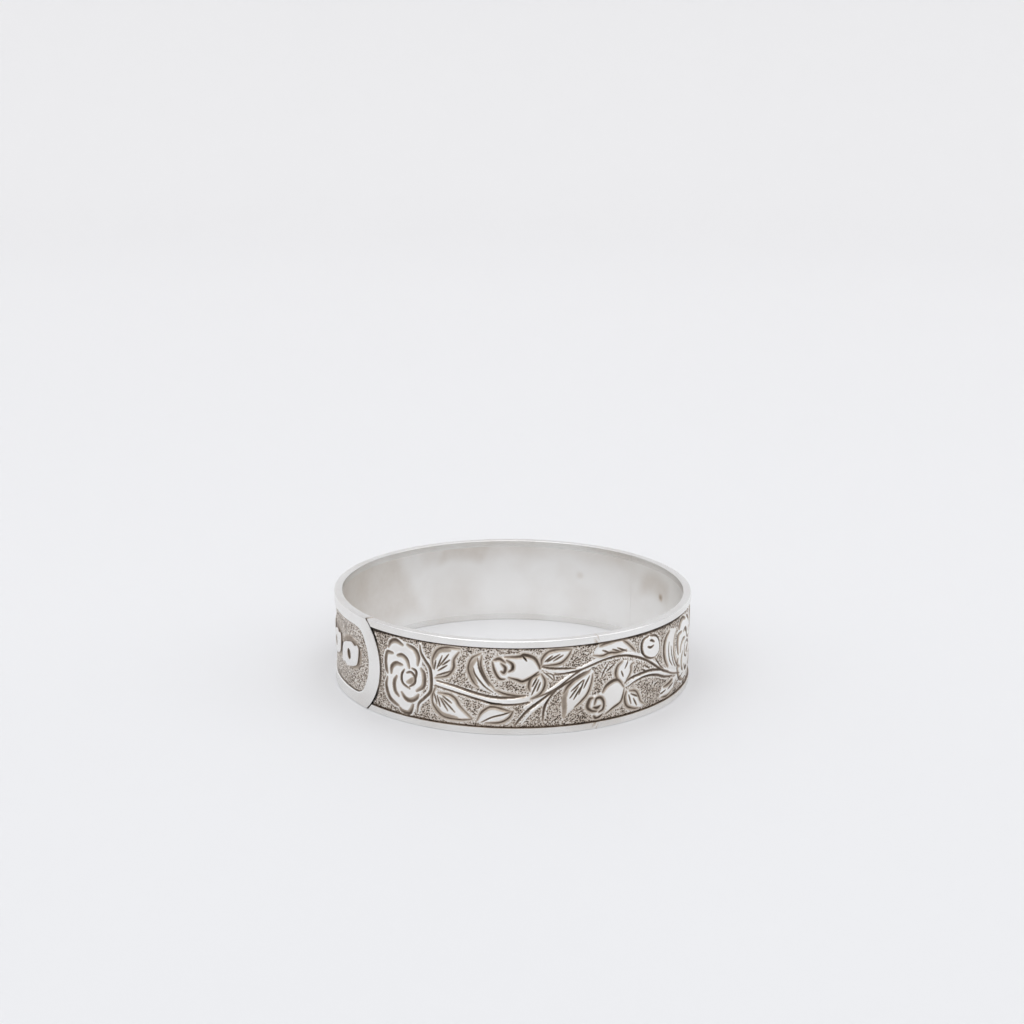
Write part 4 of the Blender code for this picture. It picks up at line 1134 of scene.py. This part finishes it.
def crossbar():
    """Round bar, slightly waisted where the prong turns on it."""
    half = BUCKLE_WINDOW[1] / 2 - 0.1
    z = np.concatenate([[-half, -half], np.linspace(-half + 0.05, half - 0.05, 30), [half, half]])[:, None]
    swell = BAR_RADIUS * (0.94 + 0.06 * smooth_step(np.abs(z), 1.0, 1.6))
    swell[[0, -1]] = 0
    swell[[1, -2]] = BAR_RADIUS - 0.05
    turn = np.linspace(0, 2 * pi, 33)[None, :]
    s = BAR_S + swell * np.sin(turn) * OUTER / BAR_PLACE
    r = BAR_PLACE - swell * np.cos(turn)
    stain_and_painted_light = 0.25 * (np.abs(z) < 1.1) + 0 * s
    smooth_piece("crossbar", s, r, z + 0 * s, stain_and_painted_light, "buckle_crossbar")


def prong():
    """Tapered tongue that is rolled round the bar and rests on the frame's far side."""
    tip = BUCKLE_S - BUCKLE_OUTLINE[0] / 2 + 0.35
    run = np.linspace(tip, BAR_S, 60)
    roll = np.linspace(0, radians(310), 40)[1:]
    path_s = np.concatenate([run, BAR_S + PRONG_RING * np.sin(roll)])
    path_r = np.concatenate([PRONG_PLACE + 0.1 * smooth_step(run, BAR_S - 3, BAR_S),
                             BAR_PLACE + PRONG_RING * np.cos(roll)])
    along = np.concatenate([(run - tip) / (BAR_S - tip), 1 + roll / 6])
    half_width = 0.45 + 0.4 * smooth_step(along, 0.0, 0.6)
    half_thick = 0.14 + 0.1 * (1 - smooth_step(along, 0.7, 1.0)) * smooth_step(along, -0.2, 0.2)
    way_s, way_r = np.gradient(path_s), np.gradient(path_r)
    length = np.hypot(way_s, way_r)
    out_s, out_r = -way_r / length, way_s / length
    turn = np.linspace(0, 2 * pi, 33)
    wide = np.sign(np.cos(turn)) * np.abs(np.cos(turn)) ** 0.5
    thick = np.sign(np.sin(turn)) * np.abs(np.sin(turn)) ** 0.7
    size = np.clip(np.minimum(np.arange(len(path_s)), np.arange(len(path_s))[::-1]) / 2, 0, 1) ** 0.5
    s = path_s[:, None] + (out_s * half_thick * size)[:, None] * thick
    r = path_r[:, None] + (out_r * half_thick * size)[:, None] * thick
    z = (half_width * size)[:, None] * wide
    smooth_piece("prong", s, r, z, 0.12 + 0 * s, "buckle_prong")


buckle()
crossbar()
prong()


# Materials of the CAD nodes that stay ------------------------------------------------------------

for name, cad_node in frame["nodes"].items():
    if cad_node.hide_render:
        continue
    slot = next(part["material_slot"] for part in frame["record"]["subparts"] if part["node"] == name)
    material = polished if slot == "polished_silver" else hidden
    for place in cad_node.material_slots:
        place.material = material
    edge = cad_node.modifiers.new("edge", "BEVEL")
    edge.width = 0.04 * MM
    edge.segments = 2
    edge.limit_method = "ANGLE"
    edge.angle_limit = radians(50)


# Studio ------------------------------------------------------------------------------------------

# Where the lights point
AIM = Vector((0, 0, 0.008))
# The paper's colour from front to back, with painted shade that darkens it towards the front, and the size of its
# bend, in metres
PAPER_TONES = [(0.0, (0.78, 0.785, 0.795, 1)), (0.17, (0.838, 0.84, 0.848, 1)),
               (0.53, (0.89, 0.888, 0.892, 1)), (1.0, (0.92, 0.916, 0.915, 1))]
PAPER_BEND = 0.5


def backdrop():
    """Seamless pale floor that curves up all round: high behind the bangle, low before it."""
    turn = np.linspace(0, 2 * pi, 97)[:, None]
    behind = smooth_step(np.sin(turn), -0.1, 0.6)
    bend = 1.9 - behind
    climb = np.linspace(0, pi / 2, 17)[None, :]
    flat = bend * np.array([[0.0, 0.1, 0.3, 0.6]])
    radius = np.concatenate([flat, bend + PAPER_BEND * np.sin(climb), bend + PAPER_BEND], axis=1)
    rise = PAPER_BEND * (1 - np.cos(climb)) + 0 * bend
    height = np.concatenate([0 * flat, rise, PAPER_BEND + 1.3 * behind], axis=1)
    mesh = grid_mesh("backdrop", np.stack([radius * np.cos(turn), radius * np.sin(turn), height], -1))
    mesh.shade_smooth()
    material, tree, shader, where = new_material("pale_paper")
    depth = node(tree, "ShaderNodeSeparateXYZ", {"Vector": where}).outputs["Y"]
    grain = maths(tree, "MULTIPLY", noise(tree, where, 6, 3), 0.06)
    # Painted shade: the paper turns darker towards the front.
    share = maths(tree, "ADD", maths(tree, "ADD", maths(tree, "MULTIPLY", depth, 0.7), 0.12), grain)
    tree.links.new(ramp(tree, share, PAPER_TONES), shader.inputs["Base Color"])
    shader.inputs["Roughness"].default_value = 0.6
    shader.inputs["Specular IOR Level"].default_value = 0.25
    mesh.materials.append(material)
    floor = add_object("backdrop", mesh)


def softbox(name, place, size, power):
    """Area light that faces the bangle."""
    lamp = bpy.data.lights.new(name, "AREA")
    lamp.shape = "RECTANGLE"
    lamp.size, lamp.size_y = size
    lamp.energy = power
    holder = add_object(name, lamp)
    holder.location = place
    holder.rotation_mode = "QUATERNION"
    holder.rotation_quaternion = (AIM - Vector(place)).to_track_quat("-Z", "Y")


def studio_world():
    """Even white surroundings, dimmer low down on the front side, where a studio is open."""
    world = bpy.data.worlds.new("studio")
    world.use_nodes = True
    tree = world.node_tree
    way = node(tree, "ShaderNodeTexCoord").outputs["Generated"]
    parts = node(tree, "ShaderNodeSeparateXYZ", {"Vector": way}).outputs
    front = maths(tree, "MAXIMUM", maths(tree, "MULTIPLY", parts["Y"], -1.0), 0.0)
    low = maths(tree, "SUBTRACT", 1.0, maths(tree, "MULTIPLY", maths(tree, "ABSOLUTE", parts["Z"]), 2.2))
    shade = maths(tree, "MULTIPLY", front, maths(tree, "MAXIMUM", low, 0.0))
    colour = ramp(tree, shade, [(0.0, (0.97, 0.975, 1.0, 1)), (0.8, (0.33, 0.325, 0.32, 1))])
    background = tree.nodes["Background"]
    tree.links.new(colour, background.inputs["Color"])
    background.inputs["Strength"].default_value = 0.86
    bpy.context.scene.world = world


backdrop()
studio_world()
softbox("overhead", (0.0, 0.3, 1.5), (2.0, 1.6), 4.6)
softbox("front", (-0.15, -0.85, 0.75), (1.4, 0.5), 2.6)
softbox("right", (0.9, -0.1, 0.45), (0.5, 0.4), 0.4)


# Camera ------------------------------------------------------------------------------------------

EYE = Vector((-0.00025, -0.31183, 0.11006))
LOOK_DOWN = radians(14.27)
ROLL = radians(0.42)
# Focal length and sensor width, mm
LENS = 61.57
SENSOR_WIDTH = 36


def photo_camera():
    """The photograph's view, from its perspective fit."""
    right = Vector((1, 0, 0))
    up = Vector((0, sin(LOOK_DOWN), cos(LOOK_DOWN)))
    back = Vector((0, -cos(LOOK_DOWN), sin(LOOK_DOWN)))
    rolled_right = right * cos(ROLL) + up * sin(ROLL)
    rolled_up = up * cos(ROLL) - right * sin(ROLL)
    camera = bpy.data.cameras.new("camera")
    camera.lens = LENS
    camera.sensor_width = SENSOR_WIDTH
    camera.clip_start = 0.01
    camera.clip_end = 20
    holder = add_object("camera", camera)
    turned = Matrix((rolled_right, rolled_up, back)).transposed().to_4x4()
    holder.matrix_world = Matrix.Translation(EYE) @ turned
    bpy.context.scene.camera = holder


photo_camera()
bpy.context.scene.view_settings.view_transform = "Standard"
